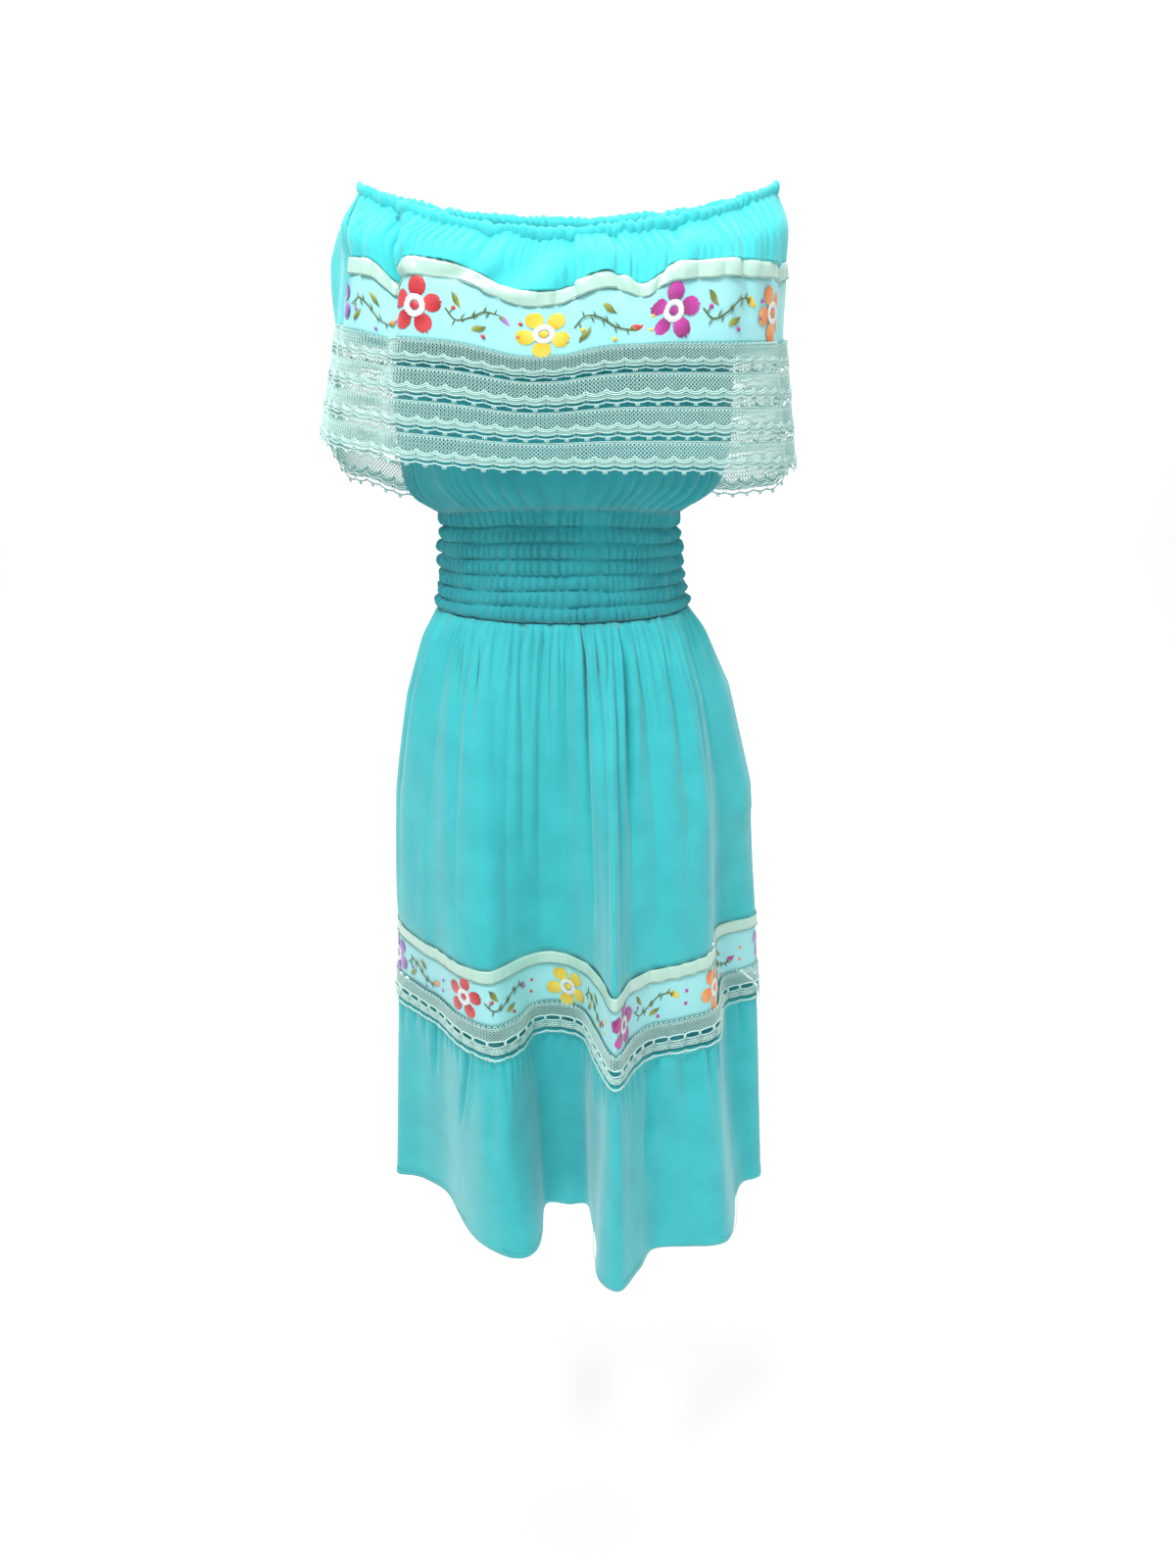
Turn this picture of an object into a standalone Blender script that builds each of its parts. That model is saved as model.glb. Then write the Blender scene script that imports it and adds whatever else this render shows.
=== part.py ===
"""Off-the-shoulder peasant dress, worn and hollow, as the pieces that a maker cuts and sews.

Frame: +Z up, the front faces -Y, origin at the middle of the neck opening at shoulder height.
Every piece is a strip of one of three tubes (flounce, bodice with waist, skirt with ruffle).
A tube is a stack of levels. A level is one turn of cloth: its reach to the left, right, front
and back and its height at those four places. Folds push the cloth out or in along that turn.
"""

from collections import namedtuple

import bpy
import numpy as np

# Cloth walls, metres
CLOTH = 0.0012  # cotton and lace
SHIRRED = 0.0020  # cotton drawn up on elastic
CASING = 0.0040  # two layers gathered over elastic
SEAM = 0.0004  # left open between two pieces that are sewn together
LAYER = 0.0006  # the flounce hangs this far outside the casing's middle

# Steps of cloth along each kind of piece
TOP_STEPS = 46  # round the neck and flounce
WAIST_STEPS = 40  # round the bodice and waist
SKIRT_STEPS = 76  # round the skirt

# A turn starts at the left side (-X) and goes by the front: 90 is the front, 180 the right side
FRONT_SEAM_LEFT = 12.0
FRONT_SEAM_RIGHT = 187.0
SIDE_LEFT = 0.0
SIDE_RIGHT = 180.0
WHOLE_TURN = 360.0

Level = namedtuple(
    "Level", "name left right front back z_left z_right z_front z_back square"
)
FLOUNCE = (
    Level("casing_top", 0.185, 0.197, 0.113, 0.088, 0.002, 0.002, -0.040, -0.022, 2.1),
    Level("casing_foot", 0.191, 0.203, 0.118, 0.094, -0.010, -0.010, -0.050, -0.033, 2.1),
    Level("shoulder", 0.206, 0.211, 0.130, 0.112, -0.031, -0.031, -0.057, -0.050, 2.2),
    Level("ribbon_top", 0.207, 0.212, 0.140, 0.122, -0.061, -0.066, -0.068, -0.080, 2.2),
    Level("ribbon_foot", 0.209, 0.213, 0.143, 0.127, -0.076, -0.081, -0.083, -0.095, 2.2),
    Level("lace_1", 0.216, 0.214, 0.149, 0.138, -0.123, -0.137, -0.136, -0.160, 2.2),
    Level("lace_2", 0.221, 0.217, 0.150, 0.142, -0.147, -0.163, -0.158, -0.196, 2.2),
    Level("lace_3", 0.227, 0.221, 0.151, 0.145, -0.174, -0.194, -0.187, -0.231, 2.2),
    Level("lace_4", 0.233, 0.225, 0.152, 0.148, -0.201, -0.226, -0.216, -0.266, 2.2),
    Level("hem", 0.238, 0.229, 0.153, 0.151, -0.228, -0.258, -0.246, -0.302, 2.2),
)
BODICE = (
    Level("neck", 0.189, 0.201, 0.116, 0.092, -0.011, -0.011, -0.051, -0.034, 2.1),
    Level("chest", 0.174, 0.181, 0.126, 0.098, -0.070, -0.070, -0.092, -0.080, 2.2),
    Level("underarm", 0.165, 0.167, 0.131, 0.101, -0.135, -0.135, -0.135, -0.135, 2.2),
    Level("bust", 0.164, 0.166, 0.126, 0.100, -0.190, -0.190, -0.190, -0.190, 2.2),
    Level("ribs", 0.160, 0.163, 0.114, 0.100, -0.245, -0.245, -0.240, -0.245, 2.2),
    Level("blouse", 0.150, 0.148, 0.106, 0.097, -0.281, -0.281, -0.270, -0.281, 2.1),
    Level("shirring_top", 0.127, 0.119, 0.093, 0.086, -0.299, -0.299, -0.286, -0.299, 2.0),
    Level("shirring_1", 0.123, 0.117, 0.090, 0.083, -0.332, -0.332, -0.322, -0.332, 2.0),
    Level("shirring_2", 0.124, 0.119, 0.090, 0.084, -0.365, -0.365, -0.358, -0.365, 2.0),
    Level("waist", 0.129, 0.127, 0.094, 0.088, -0.395, -0.395, -0.395, -0.395, 2.0),
)
SKIRT = (
    Level("waist", 0.129, 0.127, 0.094, 0.088, -0.396, -0.396, -0.396, -0.396, 2.0),
    Level("gathers", 0.146, 0.143, 0.102, 0.099, -0.422, -0.422, -0.422, -0.422, 2.0),
    Level("hip", 0.166, 0.168, 0.110, 0.112, -0.483, -0.483, -0.483, -0.483, 2.0),
    Level("thigh", 0.181, 0.198, 0.115, 0.124, -0.593, -0.593, -0.593, -0.593, 2.0),
    Level("ribbon_top", 0.186, 0.212, 0.115, 0.130, -0.750, -0.750, -0.750, -0.750, 2.0),
    Level("ribbon_foot", 0.185, 0.213, 0.115, 0.130, -0.765, -0.765, -0.765, -0.765, 2.0),
    Level("band_foot", 0.184, 0.216, 0.115, 0.131, -0.814, -0.814, -0.814, -0.814, 2.0),
    Level("lace_foot", 0.185, 0.217, 0.115, 0.131, -0.851, -0.851, -0.851, -0.851, 2.0),
    Level("ruffle", 0.196, 0.222, 0.115, 0.134, -0.965, -0.965, -0.965, -0.965, 2.0),
    Level("hem", 0.206, 0.233, 0.115, 0.138, -1.095, -1.095, -1.095, -1.095, 2.0),
)

# A fold of the flounce runs from the casing to the hem, centred on a turn, and dies away over
# its spread (both in degrees). out is how far it stands out, and sag how far it lets the cloth
# hang, at the ribbon, at the top of the lace and at the hem. Metres.
FlounceFold = namedtuple(
    "FlounceFold",
    "name turn spread out_ribbon out_lace out_hem sag_ribbon sag_lace sag_hem",
)
FLOUNCE_FOLDS = (
    FlounceFold("left seam valley", 12.0, 7.0, -0.013, -0.009, -0.004, 0.000, 0.000, 0.000),
    FlounceFold("left valley", 45.0, 5.0, -0.010, -0.006, -0.003, 0.022, 0.003, 0.000),
    FlounceFold("left crest", 54.0, 6.0, 0.006, 0.005, 0.004, -0.003, 0.000, 0.000),
    FlounceFold("middle sag", 85.0, 12.0, 0.002, 0.001, 0.000, 0.026, 0.011, 0.000),
    FlounceFold("middle crease", 91.0, 2.5, -0.006, -0.004, -0.003, 0.002, 0.001, 0.000),
    FlounceFold("right sag", 107.5, 5.5, 0.003, 0.003, 0.002, 0.018, 0.000, 0.000),
    FlounceFold("right crest", 133.0, 8.0, 0.005, 0.005, 0.004, -0.003, 0.000, 0.000),
    FlounceFold("right side valley", 163.0, 5.0, -0.004, -0.005, -0.006, 0.005, 0.003, 0.000),
    FlounceFold("right back crest", 200.0, 10.0, 0.006, 0.006, 0.004, 0.000, 0.004, 0.016),
    FlounceFold("right back fall", 218.0, 18.0, 0.000, 0.000, 0.000, 0.004, 0.008, 0.026),
    FlounceFold("back valley right", 236.0, 6.0, -0.007, -0.008, -0.008, 0.000, 0.000, 0.000),
    FlounceFold("back crest", 262.0, 10.0, 0.006, 0.007, 0.008, 0.010, 0.004, 0.002),
    FlounceFold("back valley left", 297.0, 7.0, -0.008, -0.009, -0.009, 0.000, 0.000, 0.000),
    FlounceFold("left back fall", 318.0, 20.0, 0.000, 0.000, 0.000, 0.004, 0.010, 0.040),
    FlounceFold("left back crest", 341.0, 11.0, 0.026, 0.019, -0.004, 0.000, 0.008, 0.030),
)

# A row for each crest and hollow of the skirt, going round from the left side by the front.
# across is where it lies (x) at the waist, ribbon and hem; out is how far it stands in front
# of, or behind, the plain level there. Metres.
SkirtFold = namedtuple(
    "SkirtFold", "name across_waist across_ribbon across_hem out_ribbon out_hem"
)
FRONT_FOLDS = (
    SkirtFold("side seam left", -0.129, -0.186, -0.206, 0.000, -0.013),
    SkirtFold("left hollow", -0.110, -0.156, -0.172, -0.003, -0.060),
    SkirtFold("left hollow edge", -0.098, -0.134, -0.142, 0.004, -0.053),
    SkirtFold("left shoulder", -0.084, -0.108, -0.113, 0.024, -0.004),
    SkirtFold("left pipe", -0.060, -0.078, -0.062, 0.030, 0.037),
    SkirtFold("left pipe flank", -0.042, -0.056, -0.031, 0.004, 0.020),
    SkirtFold("middle hollow left", -0.030, -0.038, -0.027, -0.017, -0.062),
    SkirtFold("middle hollow", -0.010, -0.012, 0.002, -0.028, -0.067),
    SkirtFold("middle hollow right", 0.010, 0.018, 0.030, -0.008, -0.058),
    SkirtFold("big pipe flank", 0.022, 0.037, 0.033, 0.030, 0.045),
    SkirtFold("big pipe", 0.036, 0.051, 0.056, 0.082, 0.088),
    SkirtFold("big pipe back", 0.052, 0.066, 0.080, 0.047, 0.060),
    SkirtFold("shelf", 0.063, 0.088, 0.094, 0.028, 0.026),
    SkirtFold("right plateau", 0.085, 0.124, 0.140, 0.023, 0.031),
    SkirtFold("right edge", 0.106, 0.154, 0.188, 0.010, 0.045),
    SkirtFold("right step", 0.117, 0.167, 0.205, -0.045, -0.044),
)
BACK_FOLDS = (
    SkirtFold("side seam right", 0.127, 0.212, 0.233, 0.004, 0.009),
    SkirtFold("right back pipe", 0.105, 0.170, 0.186, 0.018, 0.034),
    SkirtFold("right back hollow", 0.085, 0.132, 0.140, -0.016, -0.038),
    SkirtFold("back pipe 1", 0.062, 0.094, 0.098, 0.026, 0.040),
    SkirtFold("back hollow 1", 0.036, 0.056, 0.058, -0.018, -0.046),
    SkirtFold("back pipe 2", 0.010, 0.012, 0.006, 0.034, 0.050),
    SkirtFold("back hollow 2", -0.018, -0.030, -0.036, -0.014, -0.040),
    SkirtFold("back pipe 3", -0.046, -0.070, -0.076, 0.028, 0.042),
    SkirtFold("back hollow 3", -0.076, -0.108, -0.112, -0.015, -0.044),
    SkirtFold("left back pipe", -0.104, -0.146, -0.158, 0.016, 0.030),
)
FOLD_GROWTH = 0.9  # folds deepen from nothing at the waist to the ribbon by this power of the drop

# The bodice panels are cut away at the sides for the arms: half of a panel's turn, in degrees
Armhole = namedtuple("Armhole", "level half_turn")
ARMHOLE = (
    Armhole("neck", 50.0),
    Armhole("chest", 62.0),
    Armhole("underarm", 90.0),
)

TURQUOISE = (0.045, 0.56, 0.60, 1.0)
TURQUOISE_DEEP = (0.025, 0.36, 0.40, 1.0)
PALE_AQUA = (0.45, 0.80, 0.80, 1.0)
MINT_LACE = (0.33, 0.70, 0.62, 1.0)
MINT_SATIN = (0.52, 0.80, 0.67, 1.0)


def smooth(at, places, values):
    """A smooth curve through values at rising places: Hermite, with the slope from the neighbours."""
    slope = np.gradient(values, places, axis=0)
    i = np.clip(np.searchsorted(places, at) - 1, 0, len(places) - 2)
    width = places[i + 1] - places[i]
    t = (at - places[i]) / width
    h = width.reshape(width.shape + (1,) * (values.ndim - 1))
    t = t.reshape(t.shape + (1,) * (values.ndim - 1))
    start = (1 + 2 * t) * (1 - t) ** 2
    end = t * t * (3 - 2 * t)
    lead = t * (1 - t) ** 2
    trail = -t * t * (1 - t)
    return (
        start * values[i]
        + end * values[i + 1]
        + h * (lead * slope[i] + trail * slope[i + 1])
    )


def level_columns(levels, drop):
    """The levels' numbers at each drop, where a drop is the height at the front, going down."""
    places = np.array([-level.z_front for level in levels])
    table = np.array([level[1:] for level in levels], dtype=float)
    return smooth(-np.asarray(drop, dtype=float), places, table)


def ring(columns, turn):
    """Points of a level at each turn: a squared ellipse with its own reach on each side."""
    left, right, front, back, z_left, z_right, z_front, z_back, square = np.moveaxis(columns, -1, 0)
    cos = np.cos(np.radians(turn))
    sin = np.sin(np.radians(turn))
    width = np.where(cos > 0, left, right)
    depth = np.where(sin > 0, front, back)
    x = -width * np.sign(cos) * np.abs(cos) ** (2 / square)
    y = -depth * np.sign(sin) * np.abs(sin) ** (2 / square)
    z = cos**2 * np.where(cos > 0, z_left, z_right)
    z += sin**2 * np.where(sin > 0, z_front, z_back)
    return np.stack([x, y, z], axis=-1)


def bump(turn, centre, spread):
    """1 at the centre, dying away like a bell over the spread, and the same every whole turn."""
    away = (turn - centre + 180) % WHOLE_TURN - 180
    return np.exp(-((away / spread) ** 2))


def drop_of(levels, name):
    return next(level.z_front for level in levels if level.name == name)


def flounce_points(drop, turn, outward=0.0):
    """The flounce's cloth at each drop and turn, pushed out along its level by its folds."""
    points = ring(level_columns(FLOUNCE, drop), turn)
    marks = [
        drop_of(FLOUNCE, name)
        for name in ("hem", "lace_1", "ribbon_top", "casing_foot")
    ]
    away = points * (1, 1, 0)
    away /= np.linalg.norm(away, axis=-1, keepdims=True)
    points += outward * away
    for fold in FLOUNCE_FOLDS:
        out = (fold.out_hem, fold.out_lace, fold.out_ribbon, 0.0)
        sag = (fold.sag_hem, fold.sag_lace, fold.sag_ribbon, 0.0)
        here = bump(turn, fold.turn, fold.spread)
        points += (np.interp(drop, marks, out) * here)[..., None] * away
        points[..., 2] -= np.interp(drop, marks, sag) * here
    return points


def skirt_rows(folds, levels_at, front):
    """Where each fold's row lies at each drop: across from the table, out from the plain level."""
    waist, ribbon, hem = (drop_of(SKIRT, name) for name in ("waist", "ribbon_top", "hem"))
    across_marks = np.array([level.z_front for level in SKIRT])[::-1]
    reach = np.array([level.left + level.right for level in SKIRT])[::-1]
    grown = (reach - reach[-1]) / (reach[across_marks == ribbon][0] - reach[-1])
    fullness = np.interp(levels_at, across_marks, grown)
    low = np.clip((ribbon - levels_at) / (ribbon - hem), 0, 1)
    high = np.clip((waist - levels_at) / (waist - ribbon), 0, 1)
    columns = level_columns(SKIRT, levels_at)
    rows = []
    for fold in folds:
        down = fold.across_waist + (fold.across_ribbon - fold.across_waist) * fullness
        across = np.where(
            levels_at >= ribbon,
            down,
            fold.across_ribbon + (fold.across_hem - fold.across_ribbon) * low,
        )
        out = np.where(
            levels_at >= ribbon,
            fold.out_ribbon * high**FOLD_GROWTH,
            fold.out_ribbon + (fold.out_hem - fold.out_ribbon) * low,
        )
        side = np.where(across < 0, columns[:, 0], columns[:, 1])
        depth = columns[:, 2] if front else columns[:, 3]
        plain = depth * np.sqrt(np.clip(1 - (across / side) ** 2, 0, 1))
        y = -(plain + out) if front else plain + out
        rows.append(np.stack([across, y, levels_at], axis=-1))
    return np.array(rows)


def skirt_points(drop, turn):
    """The skirt's cloth: a smooth curve through the fold rows at each drop, whole turns joined."""
    drop = np.asarray(drop, dtype=float)
    turn = np.asarray(turn, dtype=float)
    levels_at, which = np.unique(drop, return_inverse=True)
    rows = np.concatenate(
        [skirt_rows(FRONT_FOLDS, levels_at, True), skirt_rows(BACK_FOLDS, levels_at, False)]
    )
    places = np.concatenate(
        [
            np.linspace(0, SIDE_RIGHT, len(FRONT_FOLDS), endpoint=False),
            np.linspace(SIDE_RIGHT, WHOLE_TURN, len(BACK_FOLDS), endpoint=False),
        ]
    )
    wrapped = np.concatenate([places - WHOLE_TURN, places, places + WHOLE_TURN])
    curve = smooth((turn % WHOLE_TURN).ravel(), wrapped, np.concatenate([rows] * 3))
    points = curve[np.arange(curve.shape[0]), which.ravel()]
    return points.reshape(drop.shape + (3,))


def material(name, colour, roughness):
    made = bpy.data.materials.new(name)
    made.use_nodes = True
    shader = made.node_tree.nodes["Principled BSDF"]
    shader.inputs["Base Color"].default_value = colour
    shader.inputs["Roughness"].default_value = roughness
    shader.inputs["Metallic"].default_value = 0.0
    return made


def cloth(name, points, finish, thickness, closed):
    """One piece: an open grid of cloth, rows going down and columns going round, then its wall."""
    rows, columns = points.shape[:2]
    index = np.arange(rows * columns).reshape(rows, columns)
    if closed:
        index = np.concatenate([index, index[:, :1]], axis=1)
    faces = np.stack(
        [index[:-1, :-1], index[1:, :-1], index[1:, 1:], index[:-1, 1:]], axis=-1
    ).reshape(-1, 4)
    mesh = bpy.data.meshes.new(name)
    mesh.from_pydata(points.reshape(-1, 3).tolist(), [], faces.tolist())
    mesh.materials.append(finish)
    mesh.shade_smooth()
    piece = bpy.data.objects.new(name, mesh)
    bpy.data.collections["peasant_dress"].objects.link(piece)
    wall = piece.modifiers.new("wall", "SOLIDIFY")
    wall.thickness = thickness
    wall.offset = 0.0
    return piece


def strip(levels, top, foot, steps):
    """Drops from one named level to another, short of each by half of a seam."""
    high = drop_of(levels, top) - SEAM / 2
    low = drop_of(levels, foot) + SEAM / 2
    return np.linspace(high, low, steps + 1)


def turns(start, end, steps):
    """Turns from start to end. A whole turn leaves out its last, which is its first again."""
    if end - start >= WHOLE_TURN:
        return np.linspace(start, end, steps, endpoint=False)
    return np.linspace(start, end, steps + 1)


def seam_turn(levels, name):
    """Half of a side seam's opening, in degrees, at a named level's left reach."""
    reach = next(level.left for level in levels if level.name == name)
    return np.degrees(SEAM / 2 / reach)


def make_flounce(turquoise, satin, aqua, lace):
    front = turns(FRONT_SEAM_LEFT, FRONT_SEAM_RIGHT, TOP_STEPS // 2)
    back = turns(FRONT_SEAM_RIGHT, FRONT_SEAM_LEFT + WHOLE_TURN, TOP_STEPS // 2)
    whole = np.concatenate([front[:-1], back[:-1]])
    drop, turn = np.meshgrid(strip(FLOUNCE, "casing_top", "casing_foot", 1), whole, indexing="ij")
    cloth("neck_casing", flounce_points(drop, turn), turquoise, CASING, True)
    gap = 1.4 * seam_turn(FLOUNCE, "ribbon_top")
    for panel in (front, back):
        panel[0] += gap
        panel[-1] -= gap
    panels = (
        ("flounce_front", "casing_foot", "ribbon_top", 3, front, turquoise),
        ("flounce_ribbon", "ribbon_top", "ribbon_foot", 1, front, satin),
        ("flounce_band", "ribbon_foot", "lace_1", 2, front, aqua),
        ("flounce_back", "casing_foot", "lace_1", 4, back, turquoise),
        ("lace_tier_1", "lace_1", "lace_2", 1, whole, lace),
        ("lace_tier_2", "lace_2", "lace_3", 1, whole, lace),
        ("lace_tier_3", "lace_3", "lace_4", 1, whole, lace),
        ("lace_tier_4", "lace_4", "hem", 1, whole, lace),
    )
    for name, top, foot, steps, span, finish in panels:
        drop, turn = np.meshgrid(strip(FLOUNCE, top, foot, steps), span, indexing="ij")
        points = flounce_points(drop, turn, LAYER)
        cloth(name, points, finish, CLOTH, span is whole)


def make_bodice(turquoise):
    """Two panels. Their sides follow the armholes from the neck to the underarm, then meet."""
    drops = [drop_of(BODICE, hole.level) for hole in ARMHOLE][::-1]
    half = [hole.half_turn for hole in ARMHOLE][::-1]
    gap = seam_turn(BODICE, "shirring_top")
    for name, middle in (("bodice_front", 90.0), ("bodice_back", 270.0)):
        drop = np.array([level.z_front for level in BODICE[:7]])
        drop[0] -= SEAM / 2
        drop[-1] += 2 * SEAM  # the blouson leans in here, so its edge needs more room
        share = np.linspace(-1, 1, WAIST_STEPS // 2 + 1)
        reach = np.interp(drop, drops, half) - gap
        turn = middle + reach[:, None] * share
        drop = np.repeat(drop[:, None], len(share), axis=1)
        cloth(name, ring(level_columns(BODICE, drop), turn), turquoise, CLOTH, False)
        drop, turn = np.meshgrid(
            strip(BODICE, "shirring_top", "waist", 3), middle + (90 - gap) * share, indexing="ij"
        )
        points = ring(level_columns(BODICE, drop), turn)
        cloth(name.replace("bodice", "waist"), points, turquoise, SHIRRED, False)


def make_skirt(turquoise, satin, aqua, lace):
    whole = turns(SIDE_LEFT, SIDE_LEFT + WHOLE_TURN, SKIRT_STEPS)
    gap = seam_turn(SKIRT, "waist")
    front = turns(SIDE_LEFT + gap, SIDE_RIGHT - gap, SKIRT_STEPS // 2)
    back = turns(SIDE_RIGHT + gap, WHOLE_TURN - gap, SKIRT_STEPS // 2)
    panels = (
        ("skirt_front", "waist", "ribbon_top", 5, front, turquoise),
        ("skirt_back", "waist", "ribbon_top", 5, back, turquoise),
        ("skirt_ribbon", "ribbon_top", "ribbon_foot", 1, whole, satin),
        ("skirt_band", "ribbon_foot", "band_foot", 1, whole, aqua),
        ("skirt_lace", "band_foot", "lace_foot", 1, whole, lace),
        ("ruffle_front", "lace_foot", "hem", 3, front, turquoise),
        ("ruffle_back", "lace_foot", "hem", 3, back, turquoise),
    )
    for name, top, foot, steps, span, finish in panels:
        drop, turn = np.meshgrid(strip(SKIRT, top, foot, steps), span, indexing="ij")
        cloth(name, skirt_points(drop, turn), finish, CLOTH, span is whole)


def main():
    for thing in list(bpy.data.objects):
        bpy.data.objects.remove(thing)
    dress = bpy.data.collections.new("peasant_dress")
    bpy.context.scene.collection.children.link(dress)
    turquoise = material("turquoise_cotton", TURQUOISE, 0.8)
    deep = material("turquoise_cotton_gathered", TURQUOISE_DEEP, 0.85)
    satin = material("mint_satin_ribbon", MINT_SATIN, 0.35)
    aqua = material("pale_aqua_cotton", PALE_AQUA, 0.75)
    lace = material("mint_cotton_lace", MINT_LACE, 0.9)
    make_flounce(turquoise, satin, aqua, lace)
    make_bodice(deep)
    make_skirt(turquoise, satin, aqua, lace)


main()
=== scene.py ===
"""Looks of the off-the-shoulder peasant dress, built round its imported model.

Three master cloths (flounce, bodice with waist, skirt with ruffle) are worked out on fine grids
of drops and turns. Every piece is a patch of one of them, moved out along the cloth, with its
own gathers, and every thread of lace and embroidery is laid on them in metres along and down.
"""

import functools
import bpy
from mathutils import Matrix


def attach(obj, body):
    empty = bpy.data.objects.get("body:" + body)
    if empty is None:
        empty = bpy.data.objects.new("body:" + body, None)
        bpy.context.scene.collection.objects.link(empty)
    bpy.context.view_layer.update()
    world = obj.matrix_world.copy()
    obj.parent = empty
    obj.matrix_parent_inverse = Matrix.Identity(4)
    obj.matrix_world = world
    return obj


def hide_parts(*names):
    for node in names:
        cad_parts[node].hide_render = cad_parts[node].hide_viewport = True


bl_info = {
    "name": "Peasant dress",
    "version": (1, 0, 0),
    "blender": (4, 5, 0),
    "location": "3D View > Sidebar > Dress",
    "description": "Builds a worn off-the-shoulder peasant dress with lace and embroidery",
    "category": "Object",
}

from collections import namedtuple

import bpy
import numpy as np
from bpy.props import FloatProperty, IntProperty, PointerProperty, StringProperty
from mathutils import Vector

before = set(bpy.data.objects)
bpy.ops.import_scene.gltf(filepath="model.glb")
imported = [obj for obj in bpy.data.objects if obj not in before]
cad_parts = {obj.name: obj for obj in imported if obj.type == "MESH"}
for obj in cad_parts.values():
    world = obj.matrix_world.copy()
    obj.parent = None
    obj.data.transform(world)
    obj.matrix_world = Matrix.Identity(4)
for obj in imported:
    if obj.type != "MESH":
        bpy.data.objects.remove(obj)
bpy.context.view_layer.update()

MM = 0.001
SIDE_RIGHT = 180.0
WHOLE_TURN = 360.0
FRONT_SEAM_LEFT = 12.0
FRONT_SEAM_RIGHT = 187.0
SEAM = 0.0004
SEED = 11
NOISE_VALUES = 4096

# Walls, and how far each layer stands out from the cloth it lies on, in metres.
CLOTH_WALL = 0.0010
SATIN_WALL = 0.0007
LACE_LIFT = 0.0022
SKIRT_LACE_LIFT = 0.0018
FLOWER_PITCH = 0.118

# Depths of the lace tapes, in millimetres.
LACE_TAPE = 29.0
SKIRT_LACE_TAPE = 37.0

# Camera and studio, in metres and degrees.
CAMERA_PLACE = (0.025, -1.40, -0.10)
CAMERA_PITCH = 70.6
CAMERA_LENS = 31.5
CAMERA_SENSOR = 36.0
FLOOR_Z = -1.55
WALL_Y = 2.6
SWEEP_RADIUS = 0.8
SKY_STRENGTH = 0.42

Level = namedtuple(
    "Level", "name left right front back z_left z_right z_front z_back square"
)
FLOUNCE = (
    Level("casing_top", 0.185, 0.197, 0.113, 0.088, 0.002, 0.002, -0.040, -0.022, 2.1),
    Level("casing_foot", 0.191, 0.203, 0.118, 0.094, -0.010, -0.010, -0.050, -0.033, 2.1),
    Level("shoulder", 0.206, 0.211, 0.130, 0.112, -0.031, -0.031, -0.057, -0.050, 2.2),
    Level("ribbon_top", 0.207, 0.212, 0.140, 0.122, -0.061, -0.066, -0.068, -0.080, 2.2),
    Level("ribbon_foot", 0.209, 0.213, 0.143, 0.127, -0.076, -0.081, -0.083, -0.095, 2.2),
    Level("lace_1", 0.216, 0.214, 0.149, 0.138, -0.123, -0.137, -0.136, -0.160, 2.2),
    Level("lace_2", 0.221, 0.217, 0.150, 0.142, -0.147, -0.163, -0.158, -0.196, 2.2),
    Level("lace_3", 0.227, 0.221, 0.151, 0.145, -0.174, -0.194, -0.187, -0.231, 2.2),
    Level("lace_4", 0.233, 0.225, 0.152, 0.148, -0.201, -0.226, -0.216, -0.266, 2.2),
    Level("hem", 0.238, 0.229, 0.153, 0.151, -0.228, -0.258, -0.246, -0.302, 2.2),
)
BODICE = (
    Level("neck", 0.189, 0.201, 0.116, 0.092, -0.011, -0.011, -0.051, -0.034, 2.1),
    Level("chest", 0.174, 0.181, 0.126, 0.098, -0.070, -0.070, -0.092, -0.080, 2.2),
    Level("underarm", 0.165, 0.167, 0.131, 0.101, -0.135, -0.135, -0.135, -0.135, 2.2),
    Level("bust", 0.164, 0.166, 0.126, 0.100, -0.190, -0.190, -0.190, -0.190, 2.2),
    Level("ribs", 0.160, 0.163, 0.114, 0.100, -0.245, -0.245, -0.240, -0.245, 2.2),
    Level("blouse", 0.150, 0.148, 0.106, 0.097, -0.281, -0.281, -0.270, -0.281, 2.1),
    Level("shirring_top", 0.127, 0.119, 0.093, 0.086, -0.299, -0.299, -0.286, -0.299, 2.0),
    Level("shirring_1", 0.123, 0.117, 0.090, 0.083, -0.332, -0.332, -0.322, -0.332, 2.0),
    Level("shirring_2", 0.124, 0.119, 0.090, 0.084, -0.365, -0.365, -0.358, -0.365, 2.0),
    Level("waist", 0.129, 0.127, 0.094, 0.088, -0.395, -0.395, -0.395, -0.395, 2.0),
)
SKIRT = (
    Level("waist", 0.129, 0.127, 0.094, 0.088, -0.396, -0.396, -0.396, -0.396, 2.0),
    Level("gathers", 0.146, 0.143, 0.102, 0.099, -0.422, -0.422, -0.422, -0.422, 2.0),
    Level("hip", 0.166, 0.168, 0.110, 0.112, -0.483, -0.483, -0.483, -0.483, 2.0),
    Level("thigh", 0.181, 0.198, 0.115, 0.124, -0.593, -0.593, -0.593, -0.593, 2.0),
    Level("ribbon_top", 0.186, 0.212, 0.115, 0.130, -0.750, -0.750, -0.750, -0.750, 2.0),
    Level("ribbon_foot", 0.185, 0.213, 0.115, 0.130, -0.765, -0.765, -0.765, -0.765, 2.0),
    Level("band_foot", 0.184, 0.216, 0.115, 0.131, -0.814, -0.814, -0.814, -0.814, 2.0),
    Level("lace_foot", 0.185, 0.217, 0.115, 0.131, -0.851, -0.851, -0.851, -0.851, 2.0),
    Level("ruffle", 0.196, 0.222, 0.115, 0.134, -0.965, -0.965, -0.965, -0.965, 2.0),
    Level("hem", 0.206, 0.233, 0.115, 0.138, -1.095, -1.095, -1.095, -1.095, 2.0),
)

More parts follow.
